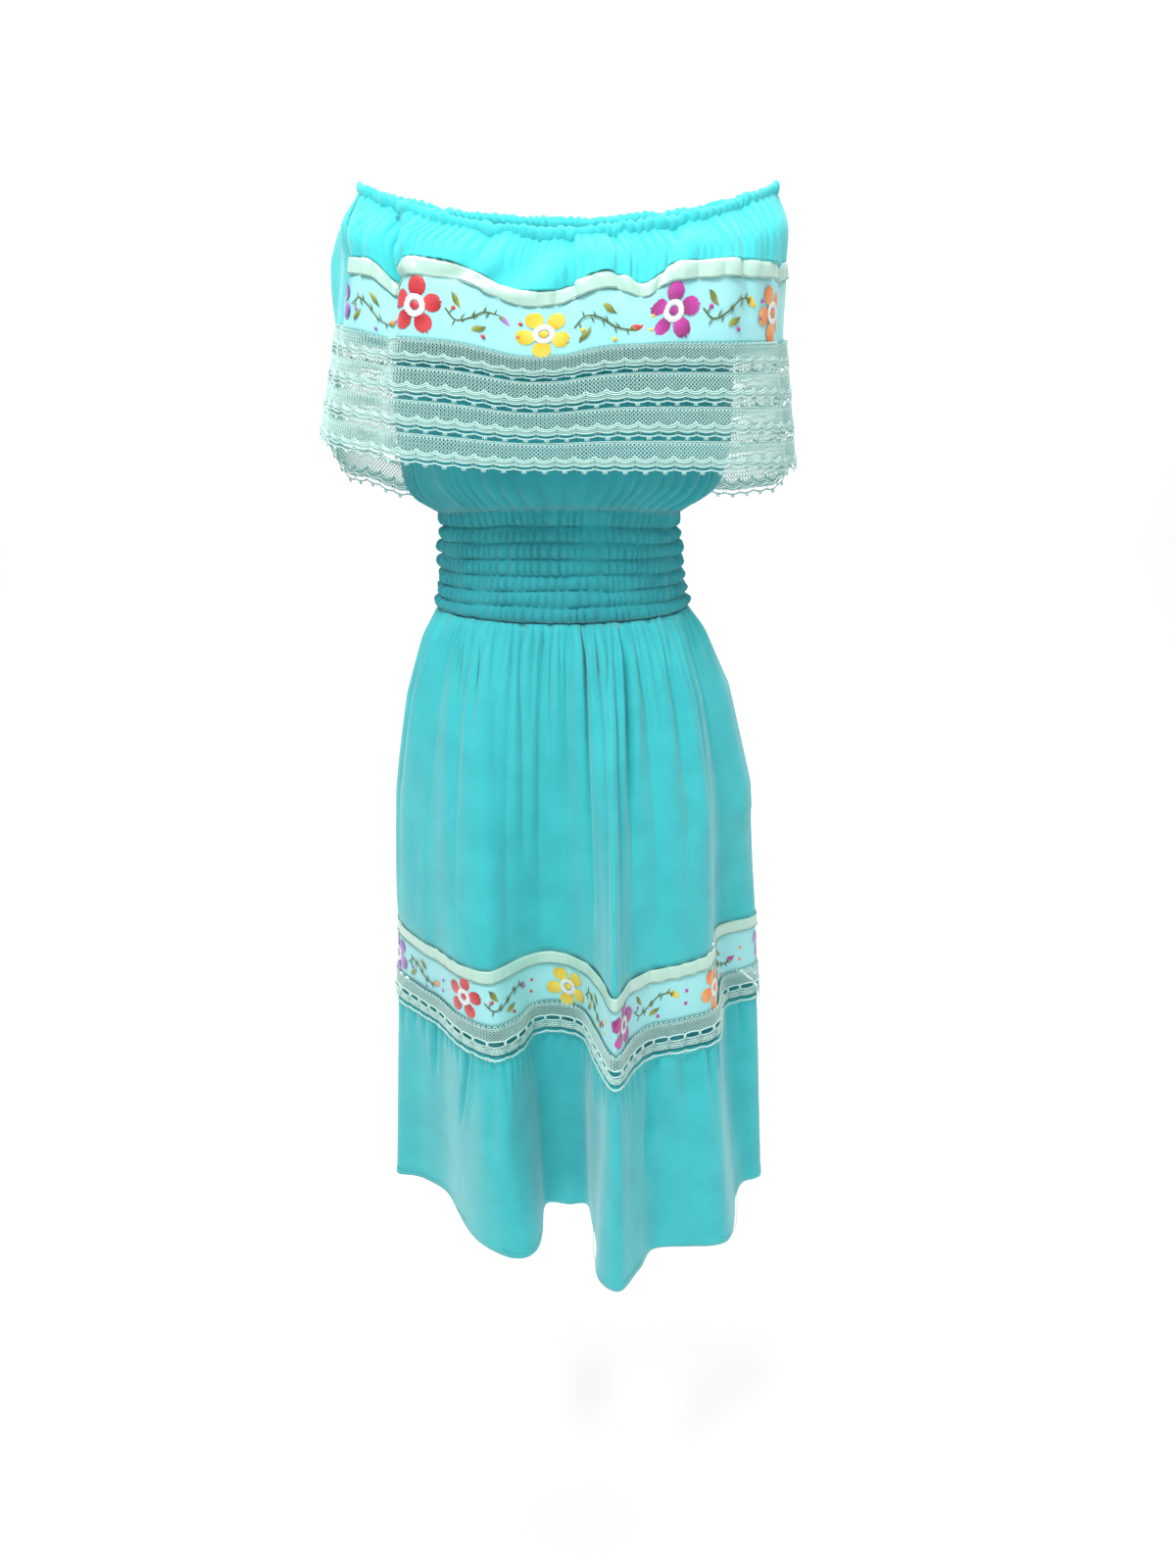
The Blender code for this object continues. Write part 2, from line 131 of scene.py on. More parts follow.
# A fold of the flounce runs from the casing to the hem, centred on a turn, and dies away over
# its spread (both in degrees). out is how far it stands out, and sag how far it lets the cloth
# hang, at the ribbon, at the top of the lace and at the hem. Metres.
FlounceFold = namedtuple(
    "FlounceFold",
    "name turn spread out_ribbon out_lace out_hem sag_ribbon sag_lace sag_hem",
)
FLOUNCE_FOLDS = (
    FlounceFold("left seam valley", 12.0, 7.0, -0.013, -0.009, -0.004, 0.000, 0.000, 0.000),
    FlounceFold("left valley", 45.0, 5.0, -0.010, -0.006, -0.003, 0.022, 0.003, 0.000),
    FlounceFold("left crest", 54.0, 6.0, 0.006, 0.005, 0.004, -0.003, 0.000, 0.000),
    FlounceFold("middle sag", 85.0, 12.0, 0.002, 0.001, 0.000, 0.026, 0.011, 0.000),
    FlounceFold("middle crease", 91.0, 2.5, -0.006, -0.004, -0.003, 0.002, 0.001, 0.000),
    FlounceFold("right sag", 107.5, 5.5, 0.003, 0.003, 0.002, 0.018, 0.000, 0.000),
    FlounceFold("right crest", 133.0, 8.0, 0.005, 0.005, 0.004, -0.003, 0.000, 0.000),
    FlounceFold("right side valley", 163.0, 5.0, -0.004, -0.005, -0.006, 0.005, 0.003, 0.000),
    FlounceFold("right back crest", 200.0, 10.0, 0.006, 0.006, 0.004, 0.000, 0.004, 0.016),
    FlounceFold("right back fall", 218.0, 18.0, 0.000, 0.000, 0.000, 0.004, 0.008, 0.026),
    FlounceFold("back valley right", 236.0, 6.0, -0.007, -0.008, -0.008, 0.000, 0.000, 0.000),
    FlounceFold("back crest", 262.0, 10.0, 0.006, 0.007, 0.008, 0.010, 0.004, 0.002),
    FlounceFold("back valley left", 297.0, 7.0, -0.008, -0.009, -0.009, 0.000, 0.000, 0.000),
    FlounceFold("left back fall", 318.0, 20.0, 0.000, 0.000, 0.000, 0.004, 0.010, 0.040),
    FlounceFold("left back crest", 341.0, 11.0, 0.026, 0.019, -0.004, 0.000, 0.008, 0.030),
)

# A row for each crest and hollow of the skirt, going round from the left side by the front.
# across is where it lies (x) at the waist, ribbon and hem; out is how far it stands in front
# of, or behind, the plain level there. Metres.
SkirtFold = namedtuple(
    "SkirtFold", "name across_waist across_ribbon across_hem out_ribbon out_hem"
)
FRONT_FOLDS = (
    SkirtFold("side seam left", -0.129, -0.186, -0.206, 0.000, -0.013),
    SkirtFold("left hollow", -0.110, -0.156, -0.172, -0.003, -0.060),
    SkirtFold("left hollow edge", -0.098, -0.134, -0.142, 0.004, -0.053),
    SkirtFold("left shoulder", -0.084, -0.108, -0.113, 0.024, -0.004),
    SkirtFold("left pipe", -0.060, -0.078, -0.062, 0.030, 0.037),
    SkirtFold("left pipe flank", -0.042, -0.056, -0.031, 0.004, 0.020),
    SkirtFold("middle hollow left", -0.030, -0.038, -0.027, -0.017, -0.062),
    SkirtFold("middle hollow", -0.010, -0.012, 0.002, -0.028, -0.067),
    SkirtFold("middle hollow right", 0.010, 0.018, 0.030, -0.008, -0.058),
    SkirtFold("big pipe flank", 0.022, 0.037, 0.033, 0.030, 0.045),
    SkirtFold("big pipe", 0.036, 0.051, 0.056, 0.082, 0.088),
    SkirtFold("big pipe back", 0.052, 0.066, 0.080, 0.047, 0.060),
    SkirtFold("shelf", 0.063, 0.088, 0.094, 0.028, 0.026),
    SkirtFold("right plateau", 0.085, 0.124, 0.140, 0.023, 0.031),
    SkirtFold("right edge", 0.106, 0.154, 0.188, 0.010, 0.045),
    SkirtFold("right step", 0.117, 0.167, 0.205, -0.045, -0.044),
)
BACK_FOLDS = (
    SkirtFold("side seam right", 0.127, 0.212, 0.233, 0.004, 0.009),
    SkirtFold("right back pipe", 0.105, 0.170, 0.186, 0.018, 0.034),
    SkirtFold("right back hollow", 0.085, 0.132, 0.140, -0.016, -0.038),
    SkirtFold("back pipe 1", 0.062, 0.094, 0.098, 0.026, 0.040),
    SkirtFold("back hollow 1", 0.036, 0.056, 0.058, -0.018, -0.046),
    SkirtFold("back pipe 2", 0.010, 0.012, 0.006, 0.034, 0.050),
    SkirtFold("back hollow 2", -0.018, -0.030, -0.036, -0.014, -0.040),
    SkirtFold("back pipe 3", -0.046, -0.070, -0.076, 0.028, 0.042),
    SkirtFold("back hollow 3", -0.076, -0.108, -0.112, -0.015, -0.044),
    SkirtFold("left back pipe", -0.104, -0.146, -0.158, 0.016, 0.030),
)
FOLD_GROWTH = 0.9  # folds deepen from nothing at the waist to the ribbon by this power of the drop

# The bodice panels are cut away at the sides for the arms: half of a panel's turn, in degrees
Armhole = namedtuple("Armhole", "level half_turn")
ARMHOLE = (
    Armhole("neck", 50.0),
    Armhole("chest", 62.0),
    Armhole("underarm", 90.0),
)


def smooth(at, places, values):
    """A smooth curve through values at rising places: Hermite, with the slope from the neighbours."""
    slope = np.gradient(values, places, axis=0)
    i = np.clip(np.searchsorted(places, at) - 1, 0, len(places) - 2)
    width = places[i + 1] - places[i]
    t = (at - places[i]) / width
    h = width.reshape(width.shape + (1,) * (values.ndim - 1))
    t = t.reshape(t.shape + (1,) * (values.ndim - 1))
    start = (1 + 2 * t) * (1 - t) ** 2
    end = t * t * (3 - 2 * t)
    lead = t * (1 - t) ** 2
    trail = -t * t * (1 - t)
    return (
        start * values[i]
        + end * values[i + 1]
        + h * (lead * slope[i] + trail * slope[i + 1])
    )


def level_columns(levels, drop):
    """The levels' numbers at each drop, where a drop is the height at the front, going down."""
    places = np.array([-level.z_front for level in levels])
    table = np.array([level[1:] for level in levels], dtype=float)
    return smooth(-np.asarray(drop, dtype=float), places, table)


def ring(columns, turn):
    """Points of a level at each turn: a squared ellipse with its own reach on each side."""
    left, right, front, back, z_left, z_right, z_front, z_back, square = np.moveaxis(columns, -1, 0)
    cos = np.cos(np.radians(turn))
    sin = np.sin(np.radians(turn))
    width = np.where(cos > 0, left, right)
    depth = np.where(sin > 0, front, back)
    x = -width * np.sign(cos) * np.abs(cos) ** (2 / square)
    y = -depth * np.sign(sin) * np.abs(sin) ** (2 / square)
    z = cos**2 * np.where(cos > 0, z_left, z_right)
    z += sin**2 * np.where(sin > 0, z_front, z_back)
    return np.stack([x, y, z], axis=-1)


def bump(turn, centre, spread):
    """1 at the centre, dying away like a bell over the spread, and the same every whole turn."""
    away = (turn - centre + 180) % WHOLE_TURN - 180
    return np.exp(-((away / spread) ** 2))


def drop_of(levels, name):
    return next(level.z_front for level in levels if level.name == name)


def flounce_points(drop, turn):
    """The flounce's cloth at each drop and turn, pushed out along its level by its folds."""
    points = ring(level_columns(FLOUNCE, drop), turn)
    marks = [
        drop_of(FLOUNCE, name)
        for name in ("hem", "lace_1", "ribbon_top", "casing_foot")
    ]
    away = points * (1, 1, 0)
    away /= np.linalg.norm(away, axis=-1, keepdims=True)
    for fold in FLOUNCE_FOLDS:
        out = (fold.out_hem, fold.out_lace, fold.out_ribbon, 0.0)
        sag = (fold.sag_hem, fold.sag_lace, fold.sag_ribbon, 0.0)
        here = bump(turn, fold.turn, fold.spread)
        points += (np.interp(drop, marks, out) * here)[..., None] * away
        points[..., 2] -= np.interp(drop, marks, sag) * here
    return points


def skirt_rows(folds, levels_at, front):
    """Where each fold's row lies at each drop: across from the table, out from the plain level."""
    waist, ribbon, hem = (drop_of(SKIRT, name) for name in ("waist", "ribbon_top", "hem"))
    across_marks = np.array([level.z_front for level in SKIRT])[::-1]
    reach = np.array([level.left + level.right for level in SKIRT])[::-1]
    grown = (reach - reach[-1]) / (reach[across_marks == ribbon][0] - reach[-1])
    fullness = np.interp(levels_at, across_marks, grown)
    low = np.clip((ribbon - levels_at) / (ribbon - hem), 0, 1)
    high = np.clip((waist - levels_at) / (waist - ribbon), 0, 1)
    columns = level_columns(SKIRT, levels_at)
    rows = []
    for fold in folds:
        down = fold.across_waist + (fold.across_ribbon - fold.across_waist) * fullness
        across = np.where(
            levels_at >= ribbon,
            down,
            fold.across_ribbon + (fold.across_hem - fold.across_ribbon) * low,
        )
        out = np.where(
            levels_at >= ribbon,
            fold.out_ribbon * high**FOLD_GROWTH,
            fold.out_ribbon + (fold.out_hem - fold.out_ribbon) * low,
        )
        side = np.where(across < 0, columns[:, 0], columns[:, 1])
        depth = columns[:, 2] if front else columns[:, 3]
        plain = depth * np.sqrt(np.clip(1 - (across / side) ** 2, 0, 1))
        y = -(plain + out) if front else plain + out
        rows.append(np.stack([across, y, levels_at], axis=-1))
    return np.array(rows)


def skirt_points(drop, turn):
    """The skirt's cloth: a smooth curve through the fold rows at each drop, whole turns joined."""
    drop = np.asarray(drop, dtype=float)
    turn = np.asarray(turn, dtype=float)
    levels_at, which = np.unique(drop, return_inverse=True)
    rows = np.concatenate(
        [skirt_rows(FRONT_FOLDS, levels_at, True), skirt_rows(BACK_FOLDS, levels_at, False)]
    )
    places = np.concatenate(
        [
            np.linspace(0, SIDE_RIGHT, len(FRONT_FOLDS), endpoint=False),
            np.linspace(SIDE_RIGHT, WHOLE_TURN, len(BACK_FOLDS), endpoint=False),
        ]
    )
    wrapped = np.concatenate([places - WHOLE_TURN, places, places + WHOLE_TURN])
    curve = smooth((turn % WHOLE_TURN).ravel(), wrapped, np.concatenate([rows] * 3))
    points = curve[np.arange(curve.shape[0]), which.ravel()]
    return points.reshape(drop.shape + (3,))


def hashed(count, salt=0):
    """Even random numbers from 0 to 1, the same each run."""
    return np.random.default_rng(SEED + salt).random(count)


def wander(at, pitch, salt=0):
    """Smooth noise from -1 to 1 along a line: random values a pitch apart, joined by half cosines."""
    values = hashed(NOISE_VALUES, salt) * 2 - 1
    place = np.asarray(at) / pitch + 1000
    low = np.floor(place).astype(int)
    t = (1 - np.cos((place - low) * np.pi)) / 2
    return values[low % NOISE_VALUES] * (1 - t) + values[(low + 1) % NOISE_VALUES] * t


def gathers(along, pitch, salt=0):
    """Gathered cloth across a seam, 0 in the sharp valleys to 1 on the round ridges: the root of
    a rectified sine whose pitch wanders."""
    phase = np.pi * (along / pitch + 0.8 * wander(along, 2.6 * pitch, salt))
    height = 0.65 + 0.35 * wander(along, 1.7 * pitch, salt + 1)
    return np.abs(np.sin(phase)) ** 0.75 * height


def fade(distance, reach):
    """1 at a seam, falling smoothly to 0 at the reach."""
    t = np.clip(distance / reach, 0, 1)
    return (1 - t) ** 2 * (1 + 2 * t)


def normals_of(points, closed):
    """Outward normals of a grid: the cross product of its slopes down and along."""
    down = np.gradient(points, axis=0)
    if closed:
        along = (np.roll(points, -1, axis=1) - np.roll(points, 1, axis=1)) / 2
    else:
        along = np.gradient(points, axis=1)
    normal = np.cross(down, along)
    return normal / np.maximum(np.linalg.norm(normal, axis=-1, keepdims=True), 1e-12)


class Master:
    """A tube's cloth on a fine grid. at() reads it between its points, moved out by a lift."""

    def __init__(self, points, drops, turns):
        self.drops, self.turns = drops, turns
        self.set(points)

    def set(self, points):
        self.points = points
        self.normals = normals_of(points, True)
        step = np.linalg.norm(np.roll(points, -1, axis=1) - points, axis=-1)
        self.arc = np.concatenate([np.zeros((len(points), 1)), np.cumsum(step, axis=1)], axis=1)

    def at(self, drop, turn, lift=0.0):
        drop, turn = np.broadcast_arrays(np.asarray(drop, float), np.asarray(turn, float))
        row = np.interp(-drop, -self.drops, np.arange(len(self.drops)))
        column = (turn % WHOLE_TURN) / WHOLE_TURN * len(self.turns)
        r = np.clip(np.floor(row).astype(int), 0, len(self.drops) - 2)
        c = np.floor(column).astype(int) % len(self.turns)
        d = (c + 1) % len(self.turns)
        s, t = (row - r)[..., None], (column - np.floor(column))[..., None]

        def read(grid):
            return (grid[r, c] * (1 - t) + grid[r, d] * t) * (1 - s) + (
                grid[r + 1, c] * (1 - t) + grid[r + 1, d] * t
            ) * s

        return read(self.points) + read(self.normals) * np.asarray(lift)[..., None]

    def row(self, drop):
        return int(np.argmin(np.abs(self.drops - drop)))

    def round(self, drop):
        return self.arc[self.row(drop), -1]

    def turn_at(self, along, drop):
        """The turn that lies this far along a drop, measured from turn 0."""
        arc = self.arc[self.row(drop)]
        whole = np.append(self.turns, WHOLE_TURN)
        return np.interp(np.asarray(along) % arc[-1], arc, whole)

    def along_at(self, turn, drop):
        whole = np.append(self.turns, WHOLE_TURN)
        return np.interp(np.asarray(turn) % WHOLE_TURN, whole, self.arc[self.row(drop)])

    def crease(self, table):
        """Soft folds given one by one: a trough with a ridge beside it, across to across, z to z."""
        lift = np.zeros(self.points.shape[:2])
        half = len(self.turns) // 2
        x = self.points[..., 0]
        for c in table:
            part = np.clip((self.drops - c.z_top) / (c.z_foot - c.z_top), 0, 1)
            reach = np.sin(np.pi * np.clip(part * 0.86 + 0.14, 0, 1)) ** 0.7
            inside = (self.drops <= c.z_top + 0.004) & (self.drops >= c.z_foot)
            across = c.across_top + (c.across_foot - c.across_top) * part
            for r in np.flatnonzero(inside):
                if c.side == "front":
                    line = np.interp(across[r], x[r, :half], self.arc[r, :half])
                else:
                    line = np.interp(-across[r], -x[r, half:], self.arc[r, half:-1])
                away = (self.arc[r, :-1] - line) / c.width
                shape = 0.55 * np.exp(-(((away - 1.5) / 1.1) ** 2)) - np.exp(-(away**2))
                lift[r] += c.depth * reach[r] * shape
        self.set(self.points + self.normals * lift[..., None])


Crease = namedtuple("Crease", "side across_top z_top across_foot z_foot width depth")
FLOUNCE_CREASES = (
    Crease("front", -0.150, -0.028, -0.136, -0.090, 0.008, 0.006),
    Crease("front", -0.010, -0.052, -0.100, -0.084, 0.022, 0.006),
    Crease("front", 0.010, -0.050, 0.014, -0.084, 0.004, 0.004),
    Crease("front", 0.048, -0.050, 0.052, -0.090, 0.005, 0.005),
    Crease("front", -0.060, -0.050, -0.085, -0.075, 0.009, 0.004),
    Crease("front", 0.110, -0.040, 0.085, -0.085, 0.010, 0.004),
    Crease("front", 0.160, -0.030, 0.170, -0.120, 0.009, 0.004),
    Crease("front", -0.176, -0.020, -0.186, -0.110, 0.008, 0.005),
    Crease("back", -0.120, -0.040, -0.135, -0.150, 0.012, 0.006),
    Crease("back", -0.040, -0.040, -0.060, -0.140, 0.010, 0.006),
    Crease("back", 0.030, -0.040, 0.022, -0.155, 0.013, 0.007),
    Crease("back", 0.100, -0.040, 0.118, -0.130, 0.011, 0.005),
    Crease("back", 0.165, -0.030, 0.182, -0.140, 0.010, 0.006),
    Crease("back", -0.175, -0.030, -0.196, -0.130, 0.010, 0.006),
)
SKIRT_CREASES = (
    Crease("front", -0.038, -0.398, -0.042, -0.640, 0.006, 0.0055),
    Crease("front", 0.020, -0.398, 0.031, -0.700, 0.006, 0.0050),
    Crease("front", 0.064, -0.405, 0.067, -0.610, 0.005, 0.0045),
    Crease("front", -0.064, -0.405, -0.070, -0.640, 0.011, 0.0050),
    Crease("front", -0.098, -0.400, -0.112, -0.560, 0.008, 0.0050),
    Crease("front", -0.080, -0.400, -0.088, -0.520, 0.005, 0.0035),
    Crease("front", 0.086, -0.400, 0.104, -0.540, 0.007, 0.0045),
    Crease("front", 0.104, -0.400, 0.138, -0.620, 0.009, 0.0050),
    Crease("front", -0.012, -0.400, -0.014, -0.520, 0.005, 0.0035),
    Crease("front", 0.006, -0.400, 0.008, -0.500, 0.004, 0.0030),
    Crease("front", 0.042, -0.400, 0.046, -0.520, 0.004, 0.0030),
    Crease("front", -0.102, -0.858, -0.118, -0.960, 0.005, 0.0070),
    Crease("front", -0.142, -0.855, -0.150, -0.930, 0.005, 0.0050),
    Crease("front", -0.074, -0.858, -0.076, -0.990, 0.008, 0.0040),
    Crease("front", 0.092, -0.858, 0.086, -1.000, 0.006, 0.0050),
    Crease("front", 0.130, -0.858, 0.140, -0.960, 0.009, 0.0045),
    Crease("back", -0.100, -0.400, -0.125, -0.600, 0.009, 0.0055),
    Crease("back", -0.060, -0.400, -0.072, -0.540, 0.006, 0.0045),
    Crease("back", -0.022, -0.400, -0.026, -0.640, 0.008, 0.0055),
    Crease("back", 0.014, -0.400, 0.020, -0.520, 0.005, 0.0040),
    Crease("back", 0.046, -0.400, 0.060, -0.620, 0.008, 0.0055),
    Crease("back", 0.092, -0.400, 0.124, -0.580, 0.007, 0.0050),
    Crease("back", -0.110, -0.858, -0.118, -0.970, 0.007, 0.0055),
    Crease("back", -0.036, -0.858, -0.040, -0.940, 0.006, 0.0050),
    Crease("back", 0.050, -0.858, 0.052, -0.985, 0.007, 0.0055),
    Crease("back", 0.120, -0.858, 0.128, -0.950, 0.006, 0.0050),
)


@functools.lru_cache(maxsize=None)
def masters():
    """The three master cloths: flounce, body (bodice and waist) and skirt."""
    fine = np.arange(0, WHOLE_TURN, 0.25)
    made = []
    for levels, rows in ((FLOUNCE, 200), (BODICE, 200), (SKIRT, 240)):
        drops = np.linspace(levels[0].z_front, levels[-1].z_front, rows)
        drop, turn = np.meshgrid(drops, fine, indexing="ij")
        if levels is FLOUNCE:
            points = flounce_points(drop, turn)
        elif levels is BODICE:
            points = ring(level_columns(BODICE, drop), turn)
        else:
            points = skirt_points(drop, turn)
        made.append(Master(points, drops, fine))
    made[0].crease(FLOUNCE_CREASES)
    made[2].crease(SKIRT_CREASES)
    return made


# ---------------------------------------------------------------- meshes


def quads(grid):
    """The four corners of each cell of a grid of rows going down, ordered to face outward."""
    return np.stack([grid[:-1, :-1], grid[1:, :-1], grid[1:, 1:], grid[:-1, 1:]], axis=-1)


def new_piece(name, points, faces, finish, nodes, uv=None, colour=None):
    """A mesh piece that rides on the body and stands for its nodes."""
    mesh = bpy.data.meshes.new(name)
    mesh.from_pydata(points.reshape(-1, 3).tolist(), [], faces.tolist())
    if uv is not None:
        layer = mesh.uv_layers.new(name="cloth")
        layer.data.foreach_set("uv", uv.astype(np.float32).ravel())
    if colour is not None:
        layer = mesh.color_attributes.new("thread", "FLOAT_COLOR", "POINT")
        layer.data.foreach_set("color", colour.astype(np.float32).ravel())
    mesh.materials.append(finish)
    mesh.shade_smooth()
    piece = bpy.data.objects.new(name, mesh)
    bpy.context.scene.collection.objects.link(piece)
    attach(piece, "root")
    if nodes:
        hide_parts(*nodes)
    return piece


def cloth(name, points, finish, nodes, thickness, closed=False):
    """A grid of cloth, rows down and columns along, with its wall. Its UV map is in metres."""
    rows, columns = points.shape[:2]
    index = np.arange(rows * columns).reshape(rows, columns)
    along = np.linalg.norm(np.diff(points, axis=1), axis=-1).mean(axis=0)
    u = np.concatenate([[0], np.cumsum(along)])
    if closed:
        index = np.concatenate([index, index[:, :1]], axis=1)
        u = np.append(u, u[-1] + np.linalg.norm(points[0, 0] - points[0, -1]))
    down = np.linalg.norm(np.diff(points, axis=0), axis=-1).mean(axis=1)
    v = np.concatenate([[0], np.cumsum(down)])
    uv = np.stack([quads(g) for g in np.meshgrid(u, v)], axis=-1).reshape(-1, 2)
    faces = quads(index).reshape(-1, 4)
    piece = new_piece(name, points, faces, finish, nodes, uv)
    wall = piece.modifiers.new("wall", "SOLIDIFY")
    wall.thickness = thickness
    wall.offset = 0.0
    return piece


def grid(master, top, foot, rows, start, end, columns):
    """Drops and turns of a patch. Its columns are spaced evenly along the cloth."""
    middle = (top + foot) / 2
    first = master.along_at(start, middle)
    span = (master.along_at(end, middle) - first) % master.round(middle)
    if abs((end - start) - WHOLE_TURN) < 1e-6:
        span = master.round(middle)
        along = first + np.linspace(0, span, columns, endpoint=False)
    else:
        along = first + np.linspace(0, span, columns)
    turn = master.turn_at(along, middle)
    drop = np.linspace(top - SEAM / 2, foot + SEAM / 2, rows)
    return np.meshgrid(drop, turn, indexing="ij") + [np.broadcast_to(along, (rows, columns))]


# ---------------------------------------------------------------- finishes


def linear(code):
    """An sRGB hex colour as linear numbers."""
    s = np.array([int(code[i : i + 2], 16) for i in (1, 3, 5)]) / 255
    low = s / 12.92
    return (*np.where(s <= 0.04045, low, ((s + 0.055) / 1.055) ** 2.4).tolist(), 1.0)


def add(tree, kind, links=(), settings=(), **values):
    """Adds one node. links are (input, socket) pairs, settings are properties, values inputs."""
    node = tree.nodes.new(kind)
    for name, value in settings:
        setattr(node, name, value)
    for name, value in values.items():
        node.inputs[name.replace("_", " ")].default_value = value
    for name, socket in links:
        tree.links.new(socket, node.inputs[name])
    return node


def base(name, colour, roughness, **sockets):
    made = bpy.data.materials.new(name)
    made.use_nodes = True
    shader = made.node_tree.nodes["Principled BSDF"]
    shader.inputs["Base Color"].default_value = colour
    shader.inputs["Roughness"].default_value = roughness
    for key, value in sockets.items():
        shader.inputs[key.replace("_", " ")].default_value = value
    return made, made.node_tree, shader


def woven(name, colour, shade, roughness, thread_mm, sheen, weave=0.25):
    """Plain-weave cotton. Uneven dyeing shifts the colour over some 40 mm, and the weave is two
    crossed sines in the cloth's own metres, drawn at a pitch that still shows."""
    made, tree, shader = base(name, linear(colour), roughness, Sheen_Weight=sheen, Sheen_Roughness=0.5)
    place = add(tree, "ShaderNodeTexCoord")
    cloud = add(tree, "ShaderNodeTexNoise", [("Vector", place.outputs["Object"])], Scale=24.0, Detail=3.0)
    ramp = add(tree, "ShaderNodeValToRGB", [("Fac", cloud.outputs["Fac"])])
    ramp.color_ramp.elements[0].position = 0.30
    ramp.color_ramp.elements[0].color = linear(shade)
    ramp.color_ramp.elements[1].position = 0.62
    ramp.color_ramp.elements[1].color = linear(colour)
    uv = add(tree, "ShaderNodeUVMap", settings=[("uv_map", "cloth")])
    waves = []
    for direction in ("X", "Y"):
        waves.append(
            add(tree, "ShaderNodeTexWave", [("Vector", uv.outputs["UV"])],
                [("wave_type", "BANDS"), ("bands_direction", direction)],
                Scale=0.314 / (thread_mm * MM), Distortion=1.2, Detail=1.0, Detail_Scale=1.5)
        )
    both = add(tree, "ShaderNodeMath", [(0, waves[0].outputs["Fac"]), (1, waves[1].outputs["Fac"])],
               [("operation", "MULTIPLY")])
    slub = add(tree, "ShaderNodeTexNoise", [("Vector", uv.outputs["UV"])], Scale=420.0, Detail=2.0)
    mixed = add(tree, "ShaderNodeMath", [(0, both.outputs[0]), (1, slub.outputs["Fac"])],
                [("operation", "ADD")])
    bump = add(tree, "ShaderNodeBump", [("Height", mixed.outputs[0])], Strength=weave, Distance=0.0004)
    tree.links.new(ramp.outputs["Color"], shader.inputs["Base Color"])
    tree.links.new(bump.outputs["Normal"], shader.inputs["Normal"])
    return made


def satin_finish(name, colour, shade):
    """Polyester satin ribbon: floats lie along the ribbon, so it glints in soft bars, and a fine
    rib of threads runs across it. Its colour wanders in soft patches to a darker tone: painted shade for
    the satin's dark reflections."""
    made, tree, shader = base(name, linear(colour), 0.24, Sheen_Weight=0.2, Specular_IOR_Level=0.7,
                              Anisotropic=0.5)
    uv = add(tree, "ShaderNodeUVMap", settings=[("uv_map", "cloth")])
    rib = add(tree, "ShaderNodeTexWave", [("Vector", uv.outputs["UV"])],
              [("bands_direction", "Y")], Scale=0.314 / (0.6 * MM), Distortion=0.6)
    # Painted shade: this noise blends the ribbon towards its darker tone in soft patches, standing in for
    # dark reflections.
    cloud = add(tree, "ShaderNodeTexNoise", [("Vector", uv.outputs["UV"])], Scale=60.0)
    ramp = add(tree, "ShaderNodeValToRGB", [("Fac", cloud.outputs["Fac"])])
    ramp.color_ramp.elements[0].color = linear(shade)
    ramp.color_ramp.elements[1].color = linear(colour)
    bump = add(tree, "ShaderNodeBump", [("Height", rib.outputs["Fac"])], Strength=0.12, Distance=0.0003)
    tree.links.new(ramp.outputs["Color"], shader.inputs["Base Color"])
    tree.links.new(bump.outputs["Normal"], shader.inputs["Normal"])
    return made


def spun_thread(name, colour, shade):
    """Mercerised cotton crochet thread: matt, with a twist that shows as fine mottling. The colour follows
    the same noise as the bump, so the hollows take the shade colour: painted shade.
    """
    made, tree, shader = base(name, linear(colour), 0.82, Sheen_Weight=0.3)
    place = add(tree, "ShaderNodeTexCoord")
    twist = add(tree, "ShaderNodeTexNoise", [("Vector", place.outputs["Object"])], Scale=900.0, Detail=2.0)
    # Painted shade: low places of the bump below take the darker shade colour.
    ramp = add(tree, "ShaderNodeValToRGB", [("Fac", twist.outputs["Fac"])])
    ramp.color_ramp.elements[0].color = linear(shade)
    ramp.color_ramp.elements[1].color = linear(colour)
    bump = add(tree, "ShaderNodeBump", [("Height", twist.outputs["Fac"])], Strength=0.3, Distance=0.0004)
    tree.links.new(ramp.outputs["Color"], shader.inputs["Base Color"])
    tree.links.new(bump.outputs["Normal"], shader.inputs["Normal"])
    return made


def embroidery_thread(name):
    """Rayon embroidery floss: glossy, each stitch in the colour of its own thread, with painted highlight
    on the raised threads and painted shade on the low ones.
    """
    made, tree, shader = base(name, (1, 1, 1, 1), 0.42, Sheen_Weight=0.25, Specular_IOR_Level=0.6)
    dye = add(tree, "ShaderNodeAttribute", settings=[("attribute_name", "thread")])
    place = add(tree, "ShaderNodeTexCoord")
    fibre = add(tree, "ShaderNodeTexNoise", [("Vector", place.outputs["Object"])], Scale=1500.0)
    bump = add(tree, "ShaderNodeBump", [("Height", fibre.outputs["Fac"])], Strength=0.25, Distance=0.0003)
    tree.links.new(dye.outputs["Color"], shader.inputs["Base Color"])
    tree.links.new(bump.outputs["Normal"], shader.inputs["Normal"])
    return made


